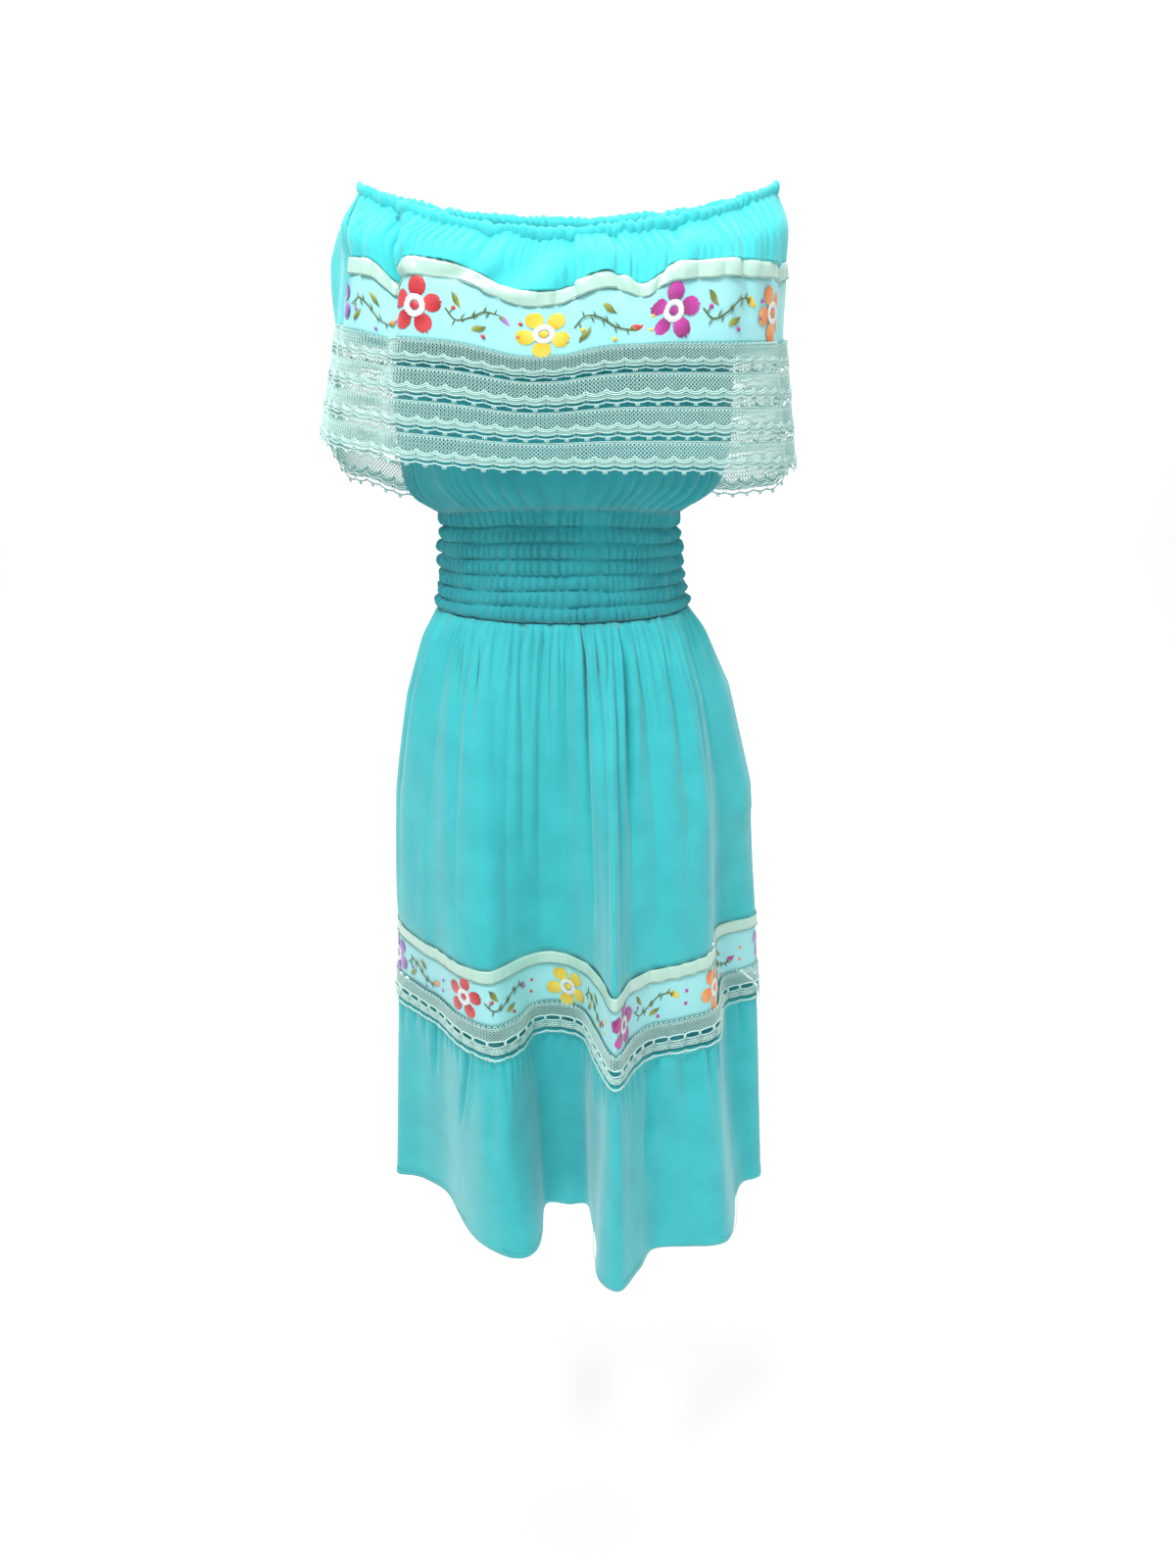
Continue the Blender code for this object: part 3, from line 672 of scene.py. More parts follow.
@functools.lru_cache(maxsize=None)
def finishes():
    colours = bpy.context.scene.dress_colours
    return {
        "flounce": woven("turquoise plain-weave cotton", colours.turquoise,
                         colours.turquoise_shade, 0.78, 0.9, 0.35),
        # The skirt cotton is the flounce's turquoise made a little darker: painted shade for the less lit
        # skirt and ruffle.
        "skirt": woven("turquoise skirt cotton in painted shade", colours.skirt, colours.skirt_shade, 0.74, 0.9, 0.35),
        # The shirring cotton is the flounce's turquoise made much darker: painted shade of the waist, also
        # used on the bodice.
        "shirring": woven("shirred turquoise cotton in painted shade", colours.shirring,
                          colours.shirring_shade, 0.85, 0.9, 0.25),
        "band": woven("pale aqua cotton sateen", colours.band, colours.band_shade, 0.70, 0.9, 0.30, 0.18),
        "satin": satin_finish("mint polyester satin", colours.ribbon, colours.ribbon_painted_shade),
        "lace": spun_thread("mint crochet cotton", colours.lace, colours.lace_painted_shade),
        "stitch": spun_thread("teal sewing thread", colours.seam_thread, colours.seam_thread),
        "floss": embroidery_thread("rayon embroidery floss"),
    }


# ---------------------------------------------------------------- threads and stitches


def tube(path, radius, sides=3):
    """A thread through points (along, down, out): a ring square to the path at each, end caps."""
    path = np.asarray(path, dtype=float)
    along = np.gradient(path[:, :2], axis=0)
    along /= np.maximum(np.linalg.norm(along, axis=1, keepdims=True), 1e-9)
    across = np.stack([-along[:, 1], along[:, 0]], axis=1)
    angle = 2 * np.pi * np.arange(sides) / sides + np.pi / 2
    flat = path[:, None, :2] + radius * np.cos(angle)[None, :, None] * across[:, None, :]
    out = path[:, None, 2] + radius * np.sin(angle)[None, :]
    points = np.concatenate([flat, out[..., None]], axis=-1).reshape(-1, 3)
    n = len(path)
    i = np.arange(n * sides).reshape(n, sides)
    j = np.roll(i, -1, axis=1)
    quads = np.stack([i[:-1], i[1:], j[1:], j[:-1]], axis=-1).reshape(-1, 4)
    tris = np.concatenate([quads[:, [0, 1, 2]], quads[:, [0, 2, 3]]])
    if sides == 3:
        tris = np.concatenate([tris, [i[0][[0, 1, 2]], i[-1][[0, 2, 1]]]])
    return points, tris


def joined(parts):
    """Several (points, triangles) as one."""
    points, faces, count = [], [], 0
    for p, f in parts:
        points.append(p)
        faces.append(f + count)
        count += len(p)
    return np.concatenate(points), np.concatenate(faces)


def thread(u, v, w, radius):
    """A thread through places along, down and out, each a number or an array, in millimetres."""
    return tube(np.stack(np.broadcast_arrays(u, v, w), axis=1), radius)


def bead(u, v, w, r):
    """A small octahedron: six points a radius from its middle."""
    points = np.array([(u, v, w + r), (u + r, v, w), (u, v + r, w),
                       (u - r, v, w), (u, v - r, w), (u, v, w - r)])
    top, foot = [(0, 2, 1), (0, 3, 2), (0, 4, 3), (0, 1, 4)], [(5, 1, 2), (5, 2, 3), (5, 3, 4), (5, 4, 1)]
    return points, np.array(top + foot)


def lattice(repeat, columns, rows, top, foot, radius):
    """Crossing slanted threads between two heights: they bow out and in at each crossing."""
    parts = []
    pitch = repeat / columns
    k = np.arange(rows + 1)
    sign = np.where(k % 2 == 0, 1, -1)
    for c in range(columns):
        for lean in (1, -1):
            u = (c + 0.5) * pitch + lean * pitch / 2 * sign * 0.86
            parts.append(thread(u, top + (foot - top) / rows * k, 0.35 * lean * sign, radius))
    return parts


def flounce_motif(repeat, tape):
    """One repeat of the flounce's crochet tape in millimetres: a top chain, an open ground of
    crossing threads, four nested scallops, a bead over a slot, and a tufted lower edge."""
    u = np.linspace(0, repeat, 9)
    s = (u / repeat - 0.5) * 2
    parts = [thread(u, 0.8 + 0.25 * np.cos(s * 9), 0.3, 0.62), thread(u, 2.0, 0.1, 0.5)]
    parts += lattice(repeat, 5, 4, 2.0, 16.2, 0.68)
    for k in range(4):
        v = 15.0 + 1.75 * k + (3.4 - 0.5 * k) * s**2 * -1 + 2.6
        parts.append(thread(u, v, 0.6 + 0.7 * (k % 2), 1.0 - 0.05 * k))
    arch = np.linspace(-1, 1, 5)
    for side in (0, repeat):
        lean = side + arch * 2.3
        keep = (lean > -2.5) & (lean < repeat + 2.5)
        parts.append(thread(lean[keep], (22.6 - 2.2 * (1 - arch**2) + 1.6)[keep], 0.7, 0.6))
    parts.append(bead(repeat, 21.6, 0.5, 1.0))
    parts.append(thread(u, tape - 3.4 + 1.5 * (1 - s**2) - 0.4, 0.8, 0.85))
    for prong in (-1.6, 0.0, 1.6):
        tip = tape + 0.6 + 0.5 * (prong == 0)
        u = repeat / 2 + prong * np.array([0.6, 1, 1.1])
        parts.append(thread(u, np.array([tape - 2.6, tip - 1.0, tip]), np.array([0.9, 1.1, 1.0]), 0.62))
    return joined(parts)


def picots(repeat, count, height, base_v, radius, lift):
    """A row of small loops along an edge, standing up by their height."""
    parts = []
    t = np.linspace(-1, 1, 5)
    for k in range(count):
        u = (k + 0.5) * repeat / count + t * repeat / count * 0.42
        parts.append(thread(u, base_v - height * (1 - t**2), lift, radius))
    return parts


def skirt_motif(repeat, tape):
    """One repeat of the skirt's lace in millimetres: a scalloped top, slanted ground, a slot
    between two bars, a fan with three eyelets and a scalloped foot."""
    u = np.linspace(0, repeat, 9)
    s = (u / repeat - 0.5) * 2
    parts = picots(repeat, 3, 2.4, 2.6, 0.55, 1.2)
    parts += [thread(u, 3.0, 0.8, 0.7), thread(u, 4.6, 0.6, 0.7)]
    parts += lattice(repeat, 5, 4, 4.8, 17.0, 0.66)
    parts.append(thread(u, 17.4 + 0.9 * s**2 - 0.9, 0.8, 1.0))
    parts.append(thread(u, 22.0 - 1.0 * s**2 + 1.0, 0.8, 0.9))
    post = np.array([17.0, 19.5, 22.4])
    parts.append(thread(repeat, post, np.array([0.9, 1.0, 0.9]), 1.9))
    for k in range(3):
        v = 24.3 + 2.5 * k - (2.0 - 0.5 * k) * (1 - s**2) * -0.8
        parts.append(thread(u, v, 0.7 + 0.2 * (k % 2), 0.95))
    fan = np.linspace(0, 1, 3)
    for k in (-1, 0, 1):
        parts.append(thread(repeat / 2 + k * (2.0 + 3.5 * fan), 23.0 + 7.5 * fan, 0.9, 0.7))
    parts.append(thread(u, tape - 2.2 + 1.6 * (1 - s**2), 1.1, 0.95))
    for points, faces in picots(repeat, 4, 1.6, tape, 0.6, 1.2):
        parts.append((points * (1, -1, 1) + (0, 2 * tape - 1.4, 0), faces[:, ::-1]))
    return joined(parts)


def tiled(master, motif, repeats, repeat, shift, drop_top, drop_foot, tape, lift):
    """A motif repeated all round. Its millimetres along go to the arc of the cloth, and its
    millimetres down go to the drop between the tape's two levels."""
    points, faces = motif
    every = np.arange(repeats)[:, None, None]
    moved = points[None] + np.concatenate([every * repeat + shift, every * 0, every * 0], axis=-1)
    middle = (drop_top + drop_foot) / 2
    share = moved[..., 0] / (repeats * repeat)
    turn = master.turn_at(share * master.round(middle), middle)
    drop = drop_top + (drop_foot - drop_top) * moved[..., 1] / tape
    placed = master.at(drop, turn, moved[..., 2] * MM + lift)
    over = np.minimum(drop - master.drops[-1], 0)
    placed[..., 2] += over
    every_face = faces[None] + (np.arange(repeats) * len(points))[:, None, None]
    return placed.reshape(-1, 3), every_face.reshape(-1, 3)


class Stitches:
    """Raised satin stitch on a band, kept as (along, down, out) in metres with a colour each."""

    def __init__(self):
        self.points, self.faces, self.colours, self.count = [], [], [], 0

    def patch(self, points, colours):
        rows, columns = points.shape[:2]
        i = np.arange(rows * columns).reshape(rows, columns) + self.count
        self.faces.append(quads(i).reshape(-1, 4))
        self.points.append(points.reshape(-1, 3))
        self.colours.append(colours.reshape(-1, 4))
        self.count += rows * columns

    def leaf(self, at, angle, length, width, start, end, shape="leaf", threads=12, salt=0):
        """Satin stitch across an outline. Its half width is a power of a sine along it."""
        t = np.linspace(0, 1, 2 * threads + 1)[:, None]
        s = np.linspace(-1, 1, 5)[None, :]
        if shape == "petal":
            half = np.sin(np.pi * (0.10 + 0.86 * t**0.85)) ** 0.55 * (0.62 + 0.5 * t)
            reach = t - 0.10 * np.abs(s) ** 2 * t + 0.07 * np.cos(2 * np.pi * s) * t**3
        elif shape == "dot":
            half = np.sin(np.pi * np.clip(t, 0.02, 0.98)) ** 0.5
            reach = t + 0 * s
        else:
            half = np.sin(np.pi * np.clip(t, 0.01, 0.99) ** 0.8) ** 0.9
            reach = t + 0.10 * s
        ridge = np.where(np.arange(2 * threads + 1)[:, None] % 2 == 0, 0, 1)
        ragged = 1 + 0.10 * (hashed(2 * threads + 1, salt)[:, None] - 0.5)
        x = reach * length
        y = s * half * width / 2 * ragged
        out = (0.25 + 0.55 * (1 - s**2) * half + 0.16 * ridge) * MM
        out = np.where(np.abs(s) > 0.99, 0.05 * MM, out) + 0 * x
        cos, sin = np.cos(angle), np.sin(angle)
        points = np.stack([at[0] + cos * x - sin * y, at[1] + sin * x + cos * y, out + 0 * x], axis=-1)
        uneven = 0.25 * (hashed(2 * threads + 1, salt + 5)[:, None] - 0.5)
        tone = np.clip(t * 1.2 - 0.1 + uneven, 0, 1)[..., None]
        colour = np.array(start) * (1 - tone) + np.array(end) * tone
        # Painted highlight and shade: raised threads are made lighter, the low threads between them darker.
        colour = colour * (0.90 + 0.16 * ridge[..., None])
        colour = np.broadcast_to(colour, points.shape[:2] + (4,)).copy()
        colour[..., 3] = 1
        self.patch(points, colour)

    def ring(self, at, inner, outer, start):
        a = np.linspace(0, 2 * np.pi, 33)[:, None]
        s = np.linspace(0, 1, 4)[None, :]
        r = outer + (inner - outer) * s
        out = (0.4 + 0.55 * np.sin(np.pi * s) + 0.12 * (np.arange(33)[:, None] % 2)) * MM + 0 * a
        points = np.stack([at[0] + r * np.cos(a), at[1] + r * np.sin(a), out], axis=-1)
        colour = np.broadcast_to(np.array(start) * (0.92, 0.92, 0.92, 1), points.shape[:2] + (4,)).copy()
        self.patch(points, colour)

    def stem(self, path, width, start):
        """A rope of stem stitch along a smooth path."""
        path = np.asarray(path)
        t = np.linspace(0, len(path) - 1, 10 * len(path))
        smooth_path = smooth(t, np.arange(len(path)).astype(float), path)
        slope = np.gradient(smooth_path, axis=0)
        slope /= np.linalg.norm(slope, axis=1, keepdims=True)
        across = np.stack([-slope[:, 1], slope[:, 0]], axis=1)
        s = np.linspace(-1, 1, 4)[None, :, None]
        flat = smooth_path[:, None, :] + across[:, None, :] * s * width / 2
        out = (0.15 + 0.5 * (1 - s[..., 0] ** 2) + 0.15 * (np.arange(len(t))[:, None] % 2)) * MM
        points = np.concatenate([flat, out[..., None]], axis=-1)
        colour = np.broadcast_to(np.array(start), points.shape[:2] + (4,)).copy()
        # Painted shade: the rope's lower stitches, every other one, are made darker.
        colour[::2, :, :3] *= 0.85
        self.patch(points, colour)


FLOSS = {
    "lilac": ("#8A4FB8", "#C79BE0"),
    "red": ("#B81E2C", "#E2474E"),
    "yellow": ("#F2C40F", "#F8E15A"),
    "magenta": ("#9A2478", "#D23FB0"),
    "orange": ("#F07A22", "#F8AE6A"),
}
FLOSS_ORDER = ("lilac", "red", "yellow", "magenta", "orange")
LEAF_LIGHT, LEAF_DARK, STEM_GREEN = "#A3A83A", "#5C6A24", "#55682C"


def flower(stitches, at, size, turned, dark, light, salt):
    """Five double-toned petals round a white ring and a coloured eye."""
    for k in range(5):
        angle = turned + 2 * np.pi * k / 5
        start, end = (dark, light) if (k + salt) % 2 else (light, dark)
        foot = (at[0] + 0.17 * size * np.cos(angle), at[1] + 0.17 * size * np.sin(angle))
        stitches.leaf(foot, angle, 0.36 * size, 0.40 * size, start, end, "petal", 10, salt * 9 + k)
    stitches.ring(at, 0.10 * size, 0.21 * size, linear("#F2F6F4"))
    stitches.leaf((at[0] - 0.085 * size, at[1]), 0.0, 0.17 * size, 0.17 * size, dark, light, "dot", 5, salt)


def spray(stitches, at, size, previous, own, salt):
    """From one flower to the next: an S-shaped stem with feather stitches, two leaves, a bud in
    the flower's colour and three dots. Distances are shares of the size."""
    x, y = at
    flip = 1 if salt % 2 else -1
    route = [(0.55, -0.02), (0.85, -0.24 * flip), (1.25, -0.10 * flip), (1.65, 0.18 * flip),
             (2.05, 0.24 * flip)]
    stitches.stem([(x + a * size, y + b * size) for a, b in route], 0.045 * size, linear(STEM_GREEN))
    for k in range(9):
        a = 0.68 + 0.155 * k
        b = np.interp(a, [p[0] for p in route], [p[1] for p in route])
        side = -1 if k % 2 else 1
        angle = (-2.1 if side < 0 else 1.1) + 0.25 * wander(k, 1.0, salt)
        angle *= 1 if flip > 0 else -1
        stitches.leaf((x + a * size, y + b * size), angle, 0.20 * size, 0.040 * size,
                      linear(STEM_GREEN), linear(LEAF_DARK), "leaf", 3, salt + k)
    stitches.leaf((x + 0.72 * size, y + 0.42 * flip * size), -0.9 * flip, 0.42 * size, 0.18 * size,
                  linear(LEAF_DARK), linear(LEAF_LIGHT), "leaf", 12, salt)
    stitches.leaf((x + 1.32 * size, y - 0.42 * flip * size), 0.55 * flip, 0.40 * size, 0.18 * size,
                  linear(LEAF_LIGHT), linear(LEAF_DARK), "leaf", 12, salt + 1)
    bud = (x + 2.05 * size, y + 0.22 * flip * size)
    stitches.leaf(bud, -0.5 * flip, 0.34 * size, 0.22 * size, previous[0], previous[1], "leaf", 9, salt + 2)
    stitches.leaf(bud, -0.5 * flip, 0.16 * size, 0.21 * size,
                  linear(LEAF_DARK), linear(LEAF_LIGHT), "dot", 5, salt + 3)
    for a, b in ((0.72, 0.08), (2.55, -0.20), (2.50, 0.22), (1.55, 0.48 * flip)):
        stitches.leaf((x + a * size, y + b * size * (1 if a > 2 else flip)), 0.4, 0.13 * size, 0.12 * size,
                      own[1], own[0], "dot", 4, salt + int(10 * a))


def embroider(name, master, drop_middle, start, count, pitch, lift, all_round):
    """Flowers and sprays along a band, laid on the master cloth from the start along it."""
    stitches = Stitches()
    size = bpy.context.scene.dress_sizes.flower * MM
    for k in range(count):
        dark, light = (linear(c) for c in FLOSS[FLOSS_ORDER[k % 5]])
        before = tuple(linear(c) for c in FLOSS[FLOSS_ORDER[(k - 1) % 5]])
        x = k * pitch
        y = 0.002 * (-1) ** k
        flower(stitches, (x, y), size, 0.4 + 1.9 * k, dark, light, k)
        if all_round or k < count - 1:
            spray(stitches, (x + 0.20 * size, y), 0.72 * size, before, (dark, light), k + 3)
    points = np.concatenate(stitches.points)
    turn = master.turn_at(start + points[:, 0], drop_middle)
    placed = master.at(drop_middle - points[:, 1], turn, points[:, 2] + lift)
    return new_piece(name, placed, np.concatenate(stitches.faces), finishes()["floss"],
                     (), colour=np.concatenate(stitches.colours))


def running_stitch(name, master, drop, start, end, length, gap, lift, radius=0.35):
    """Machine stitches along a seam: short threads end to end."""
    first = master.along_at(start, drop)
    span = (master.along_at(end, drop) - first) % master.round(drop) or master.round(drop)
    count = int(span / length)
    t = np.linspace(0, 1, 4)
    one = tube(np.stack([t * (length - gap) / MM, 0 * t, 0.3 * np.sin(np.pi * t)], axis=1), radius)
    shift = np.arange(count)[:, None, None] * np.array([length / MM, 0.0, 0.0])
    points = one[0][None] + shift
    turn = master.turn_at(first + points[..., 0] * MM, drop)
    placed = master.at(drop - points[..., 1] * MM, turn, points[..., 2] * MM + lift)
    faces = (one[1][None] + (np.arange(count) * len(one[0]))[:, None, None]).reshape(-1, 3)
    return new_piece(name, placed.reshape(-1, 3), faces, finishes()["stitch"], ())


# ---------------------------------------------------------------- pieces


def flounce_drop(name):
    return drop_of(FLOUNCE, name)


def make_casing():
    """The ruched neck casing: a flattened tube whose girth swells between its gathers."""
    master = masters()[0]
    top, foot = flounce_drop("casing_top"), flounce_drop("casing_foot")
    middle = (top + foot) / 2
    columns, sides = 1080, 14
    turn = np.linspace(0, WHOLE_TURN, columns, endpoint=False)
    along = master.along_at(turn, middle)
    ruche = gathers(along, bpy.context.scene.dress_sizes.ruche * MM, 21)
    fine = wander(along, 0.004, 31)
    angle = 2 * np.pi * np.arange(sides) / sides
    up = np.cos(angle)[:, None] * (0.0046 + 0.0032 * ruche + 0.0008 * fine)
    out = np.sin(angle)[:, None] * (0.0016 + 0.0042 * ruche)
    drop = np.full((sides, columns), middle)
    points = master.at(drop, np.broadcast_to(turn, drop.shape), out + 0.0006)
    points[..., 2] += up + 0.0009 * wander(along, 0.014, 33)
    index = np.arange(sides * columns).reshape(sides, columns)
    index = np.concatenate([index, index[:1]], axis=0)
    index = np.concatenate([index, index[:, :1]], axis=1)
    u = np.append(along, master.round(middle))
    uv = np.stack([quads(g) for g in np.meshgrid(u, np.linspace(0, 0.03, sides + 1))], axis=-1)
    faces = quads(index).reshape(-1, 4)
    piece = new_piece("ruched_casing", points, faces, finishes()["flounce"],
                      ["neck_casing"], uv.reshape(-1, 2))


def make_flounce():
    """The gathered front and back of the flounce: fine gathers die away below the casing."""
    master = masters()[0]
    top = (flounce_drop("casing_top") + flounce_drop("casing_foot")) / 2
    for name, foot, rows, start, end, columns, salt in (
        ("flounce_front", "ribbon_top", 28, FRONT_SEAM_LEFT, FRONT_SEAM_RIGHT, 480, 41),
        ("flounce_back", "lace_1", 38, FRONT_SEAM_RIGHT, FRONT_SEAM_LEFT + WHOLE_TURN, 320, 51),
    ):
        low = flounce_drop(foot)
        drop, turn, along = grid(master, top, low, rows, start, end, columns)
        below = top - drop
        reach = 0.024 + 0.034 * (0.5 + 0.5 * wander(along, 0.02, salt + 3))
        fine = 0.0052 * (gathers(along, 0.0095, salt) - 0.45) * fade(below, reach)
        fine = fine * np.clip(below / 0.01, 0.3, 1)
        broad = 0.0042 * wander(along + 0.25 * below, 0.028, salt + 5)
        broad = broad * np.sin(np.pi * np.clip(below / 0.09, 0, 1))
        points = master.at(drop, turn, 0.0008 + fine + broad)
        piece = cloth(name + "_cloth", points, finishes()["flounce"], [name],
                      CLOTH_WALL)


def make_trims():
    """Ribbon, embroidered band and their stitches, on the flounce and on the skirt."""
    flounce, _, skirt = masters()
    top, foot, lace = (flounce_drop(n) for n in ("ribbon_top", "ribbon_foot", "lace_1"))
    drop, turn, along = grid(flounce, foot + 0.001, lace, 16, FRONT_SEAM_LEFT, FRONT_SEAM_RIGHT, 520)
    ease = 0.0010 * wander(along + 0.3 * drop, 0.02, 61)
    points = flounce.at(drop, turn, ease)
    band = cloth("flounce_band_cloth", points, finishes()["band"],
                 ["flounce_band"], CLOTH_WALL)
    drop, turn, along = grid(flounce, top, foot, 7, FRONT_SEAM_LEFT, FRONT_SEAM_RIGHT, 520)
    wave = 0.0030 * (gathers(along, 0.021, 71) - 0.5) * np.clip((top - drop) / 0.004, 0.3, 1)
    points = flounce.at(drop, turn, 0.0018 + wave)
    ribbon = cloth("flounce_ribbon_satin", points, finishes()["satin"],
                   ["flounce_ribbon"], SATIN_WALL)
    running_stitch("flounce_ribbon_stitching", flounce, foot + 0.0012, FRONT_SEAM_LEFT + 1,
                   FRONT_SEAM_RIGHT - 1, 0.0030, 0.0004, 0.0026)
    top, foot, lace = (drop_of(SKIRT, n) for n in ("ribbon_top", "ribbon_foot", "band_foot"))
    drop, turn, along = grid(skirt, foot + 0.001, lace, 10, 0, WHOLE_TURN, 800)
    points = skirt.at(drop, turn, 0.0006 * wander(along, 0.02, 81))
    band = cloth("skirt_band_cloth", points, finishes()["band"],
                 ["skirt_band"], CLOTH_WALL, True)
    drop, turn, along = grid(skirt, top + 0.0005, foot, 6, 0, WHOLE_TURN, 1000)
    points = skirt.at(drop, turn, 0.0018 + 0.0022 * (gathers(along, 0.03, 91) - 0.5))
    ribbon = cloth("skirt_ribbon_satin", points, finishes()["satin"],
                   ["skirt_ribbon"], SATIN_WALL, True)
    running_stitch("skirt_ribbon_stitching", skirt, foot + 0.0012, 0, WHOLE_TURN - 0.01,
                   0.0030, 0.0004, 0.0023)


def make_embroidery():
    """Flowers along both bands."""
    flounce, _, skirt = masters()
    middle = (flounce_drop("ribbon_foot") + flounce_drop("lace_1")) / 2
    yellow = flounce.along_at(float(np.degrees(np.arccos(0.010 / 0.21))), middle)
    embroider("flounce_embroidery", flounce, middle, yellow - 2 * FLOWER_PITCH, 5, FLOWER_PITCH,
              0.0011, False)
    middle = (drop_of(SKIRT, "ribbon_foot") + drop_of(SKIRT, "band_foot")) / 2
    total = skirt.round(middle)
    count = int(round(total / FLOWER_PITCH / 5)) * 5
    row = skirt.row(middle)
    half = len(skirt.turns) // 2
    yellow = np.interp(0.004, skirt.points[row, :half, 0], skirt.arc[row, :half])
    pitch = total / count
    embroider("skirt_embroidery", skirt, middle, yellow - 2 * pitch, count, pitch, 0.0009, True)


def make_lace():
    """Four rounds of crochet tape on the flounce and one on the skirt."""
    flounce, _, skirt = masters()
    repeat = bpy.context.scene.dress_sizes.lace_repeat
    names = ("lace_1", "lace_2", "lace_3", "lace_4", "hem")
    for k in range(4):
        top, foot = flounce_drop(names[k]), flounce_drop(names[k + 1])
        motif = flounce_motif(repeat, LACE_TAPE)
        if k == 0:
            motif = joined([motif] + picots(repeat, 4, 2.2, 0.8, 0.5, 0.9))
        repeats = int(round(flounce.round((top + foot) / 2) / (repeat * MM)))
        points, faces = tiled(flounce, motif, repeats, repeat, 5.0 * (k % 2), top, foot + 0.0012,
                              LACE_TAPE, LACE_LIFT)
        new_piece(f"crochet_lace_{k + 1}", points, faces, finishes()["lace"],
                  [f"lace_tier_{k + 1}"])
    top, foot = drop_of(SKIRT, "band_foot"), drop_of(SKIRT, "lace_foot")
    repeats = int(round(skirt.round((top + foot) / 2) / (repeat * MM)))
    motif = skirt_motif(repeat, SKIRT_LACE_TAPE)
    points, faces = tiled(skirt, motif, repeats, repeat, 0.0, top + 0.002, foot - 0.001,
                          SKIRT_LACE_TAPE, SKIRT_LACE_LIFT)
    new_piece("crochet_lace_skirt", points, faces, finishes()["lace"], ["skirt_lace"])


def make_bodice():
    """Front and back of the bodice, cut away for the arms, gathered at the neck and blousing
    over the shirring."""
    master = masters()[1]
    drops = [drop_of(BODICE, hole.level) for hole in ARMHOLE][::-1]
    half = [hole.half_turn for hole in ARMHOLE][::-1]
    high, low = BODICE[0].z_front - SEAM / 2, drop_of(BODICE, "shirring_top") + SEAM
    for name, middle, salt in (("bodice_front", 90.0, 101), ("bodice_back", 270.0, 111)):
        drop = np.linspace(high, low, 40)[:, None]
        share = np.linspace(-1, 1, 190)[None, :]
        turn = middle + (np.interp(drop, drops, half) - 0.1) * share
        drop = drop + 0 * turn
        along = np.broadcast_to(share * 0.19, drop.shape)
        neck = 0.0030 * (gathers(along, 0.010, salt) - 0.5) * fade(high - drop, 0.05)
        reach = 0.05 + 0.05 * (0.5 + 0.5 * wander(along, 0.02, salt + 1))
        waist = 0.0105 * (gathers(along, 0.0125, salt + 2) - 0.55) * fade(drop - low, reach)
        pinch = np.clip((drop - low) / 0.010, 0.12, 1)
        edge = np.clip((1 - np.abs(share)) / 0.04, 0, 1)
        points = master.at(drop, turn, neck + waist * pinch * edge)
        piece = cloth(name + "_cloth", points, finishes()["shirring"], [name],
                      CLOTH_WALL)


def make_waist():
    """The shirred waist: rows of elastic pinch the cloth, which puffs between them in uneven ribs."""
    master = masters()[1]
    high, low = drop_of(BODICE, "shirring_top"), BODICE[-1].z_front
    rows = bpy.context.scene.dress_sizes.puff_rows
    for name, middle, salt in (("waist_front", 90.0, 121), ("waist_back", 270.0, 131)):
        down = np.linspace(0, rows, rows * 6 + 1)[:, None]
        share = np.linspace(-1, 1, 260)[None, :]
        drop = high - SEAM / 2 + (low - high + SEAM) * down / rows + 0 * share
        turn = middle + 90.0 * share + 0 * down
        along = share * 0.168 + 0 * down
        row = np.clip(np.floor(down), 0, rows - 1)
        puff = np.sin(np.pi * (down - row)) ** 0.65
        ribs = 0
        for k in range(rows):
            here = (row == k) * 1.0
            drift = 0.0010 * wander(along, 0.03, salt + 7 * k)
            ribs = ribs + here * gathers(along + drift, 0.0074, salt + k // 2)
        line_sag = 0.0016 * wander(along + 0.05 * down, 0.03, salt + 90)
        edge = np.clip((1 - np.abs(share)) / 0.015, 0, 1)
        lift = puff * (0.0012 + 0.0078 * ribs * edge + 0.003 * (1 - edge)) - 0.0016
        points = master.at(drop, turn, lift)
        points[..., 2] += line_sag * np.clip(down, 0, 1) * np.clip(rows - down, 0, 1) * edge
        piece = cloth(name + "_shirring", points, finishes()["shirring"], [name],
                      CLOTH_WALL)


def panel_share(along):
    """How far across a panel each column lies: 0 at its first seam, 1 at its last."""
    return (along - along[:, :1]) / (along[:, -1:] - along[:, :1])


def make_skirt():
    """The gathered upper skirt: gathers of uneven length fall from the waist."""
    master = masters()[2]
    high, low = SKIRT[0].z_front, drop_of(SKIRT, "ribbon_top")
    for name, start, end, salt in (("skirt_front", 0.0, 180.0, 141), ("skirt_back", 180.0, 360.0, 151)):
        drop, turn, along = grid(master, high, low, 50, start, end, 320)
        below = high - drop
        share = panel_share(along)
        edge = np.clip(np.minimum(share, 1 - share) / 0.025, 0, 1)
        at_waist = share * 0.36
        reach = 0.07 + 0.16 * (0.5 + 0.5 * wander(at_waist, 0.012, salt)) ** 2
        fine = 0.0100 * (gathers(at_waist, 0.0085, salt + 1) - 0.5) * fade(below, reach)
        long = 0.0110 * (gathers(at_waist, 0.024, salt + 2) - 0.5) * fade(below, 0.42)
        long = long * np.clip(below / 0.03, 0, 1)
        soft = 0.0022 * wander(along + 0.10 * below, 0.045, salt + 3) * np.clip(below / 0.1, 0, 1)
        soft = soft * np.clip((drop - low) / 0.03, 0.2, 1)
        pinch = np.clip(below / 0.012, 0.25, 1)
        points = master.at(drop, turn, (fine * pinch + long + soft) * edge)
        piece = cloth(name + "_cloth", points, finishes()["skirt"], [name],
                      CLOTH_WALL)


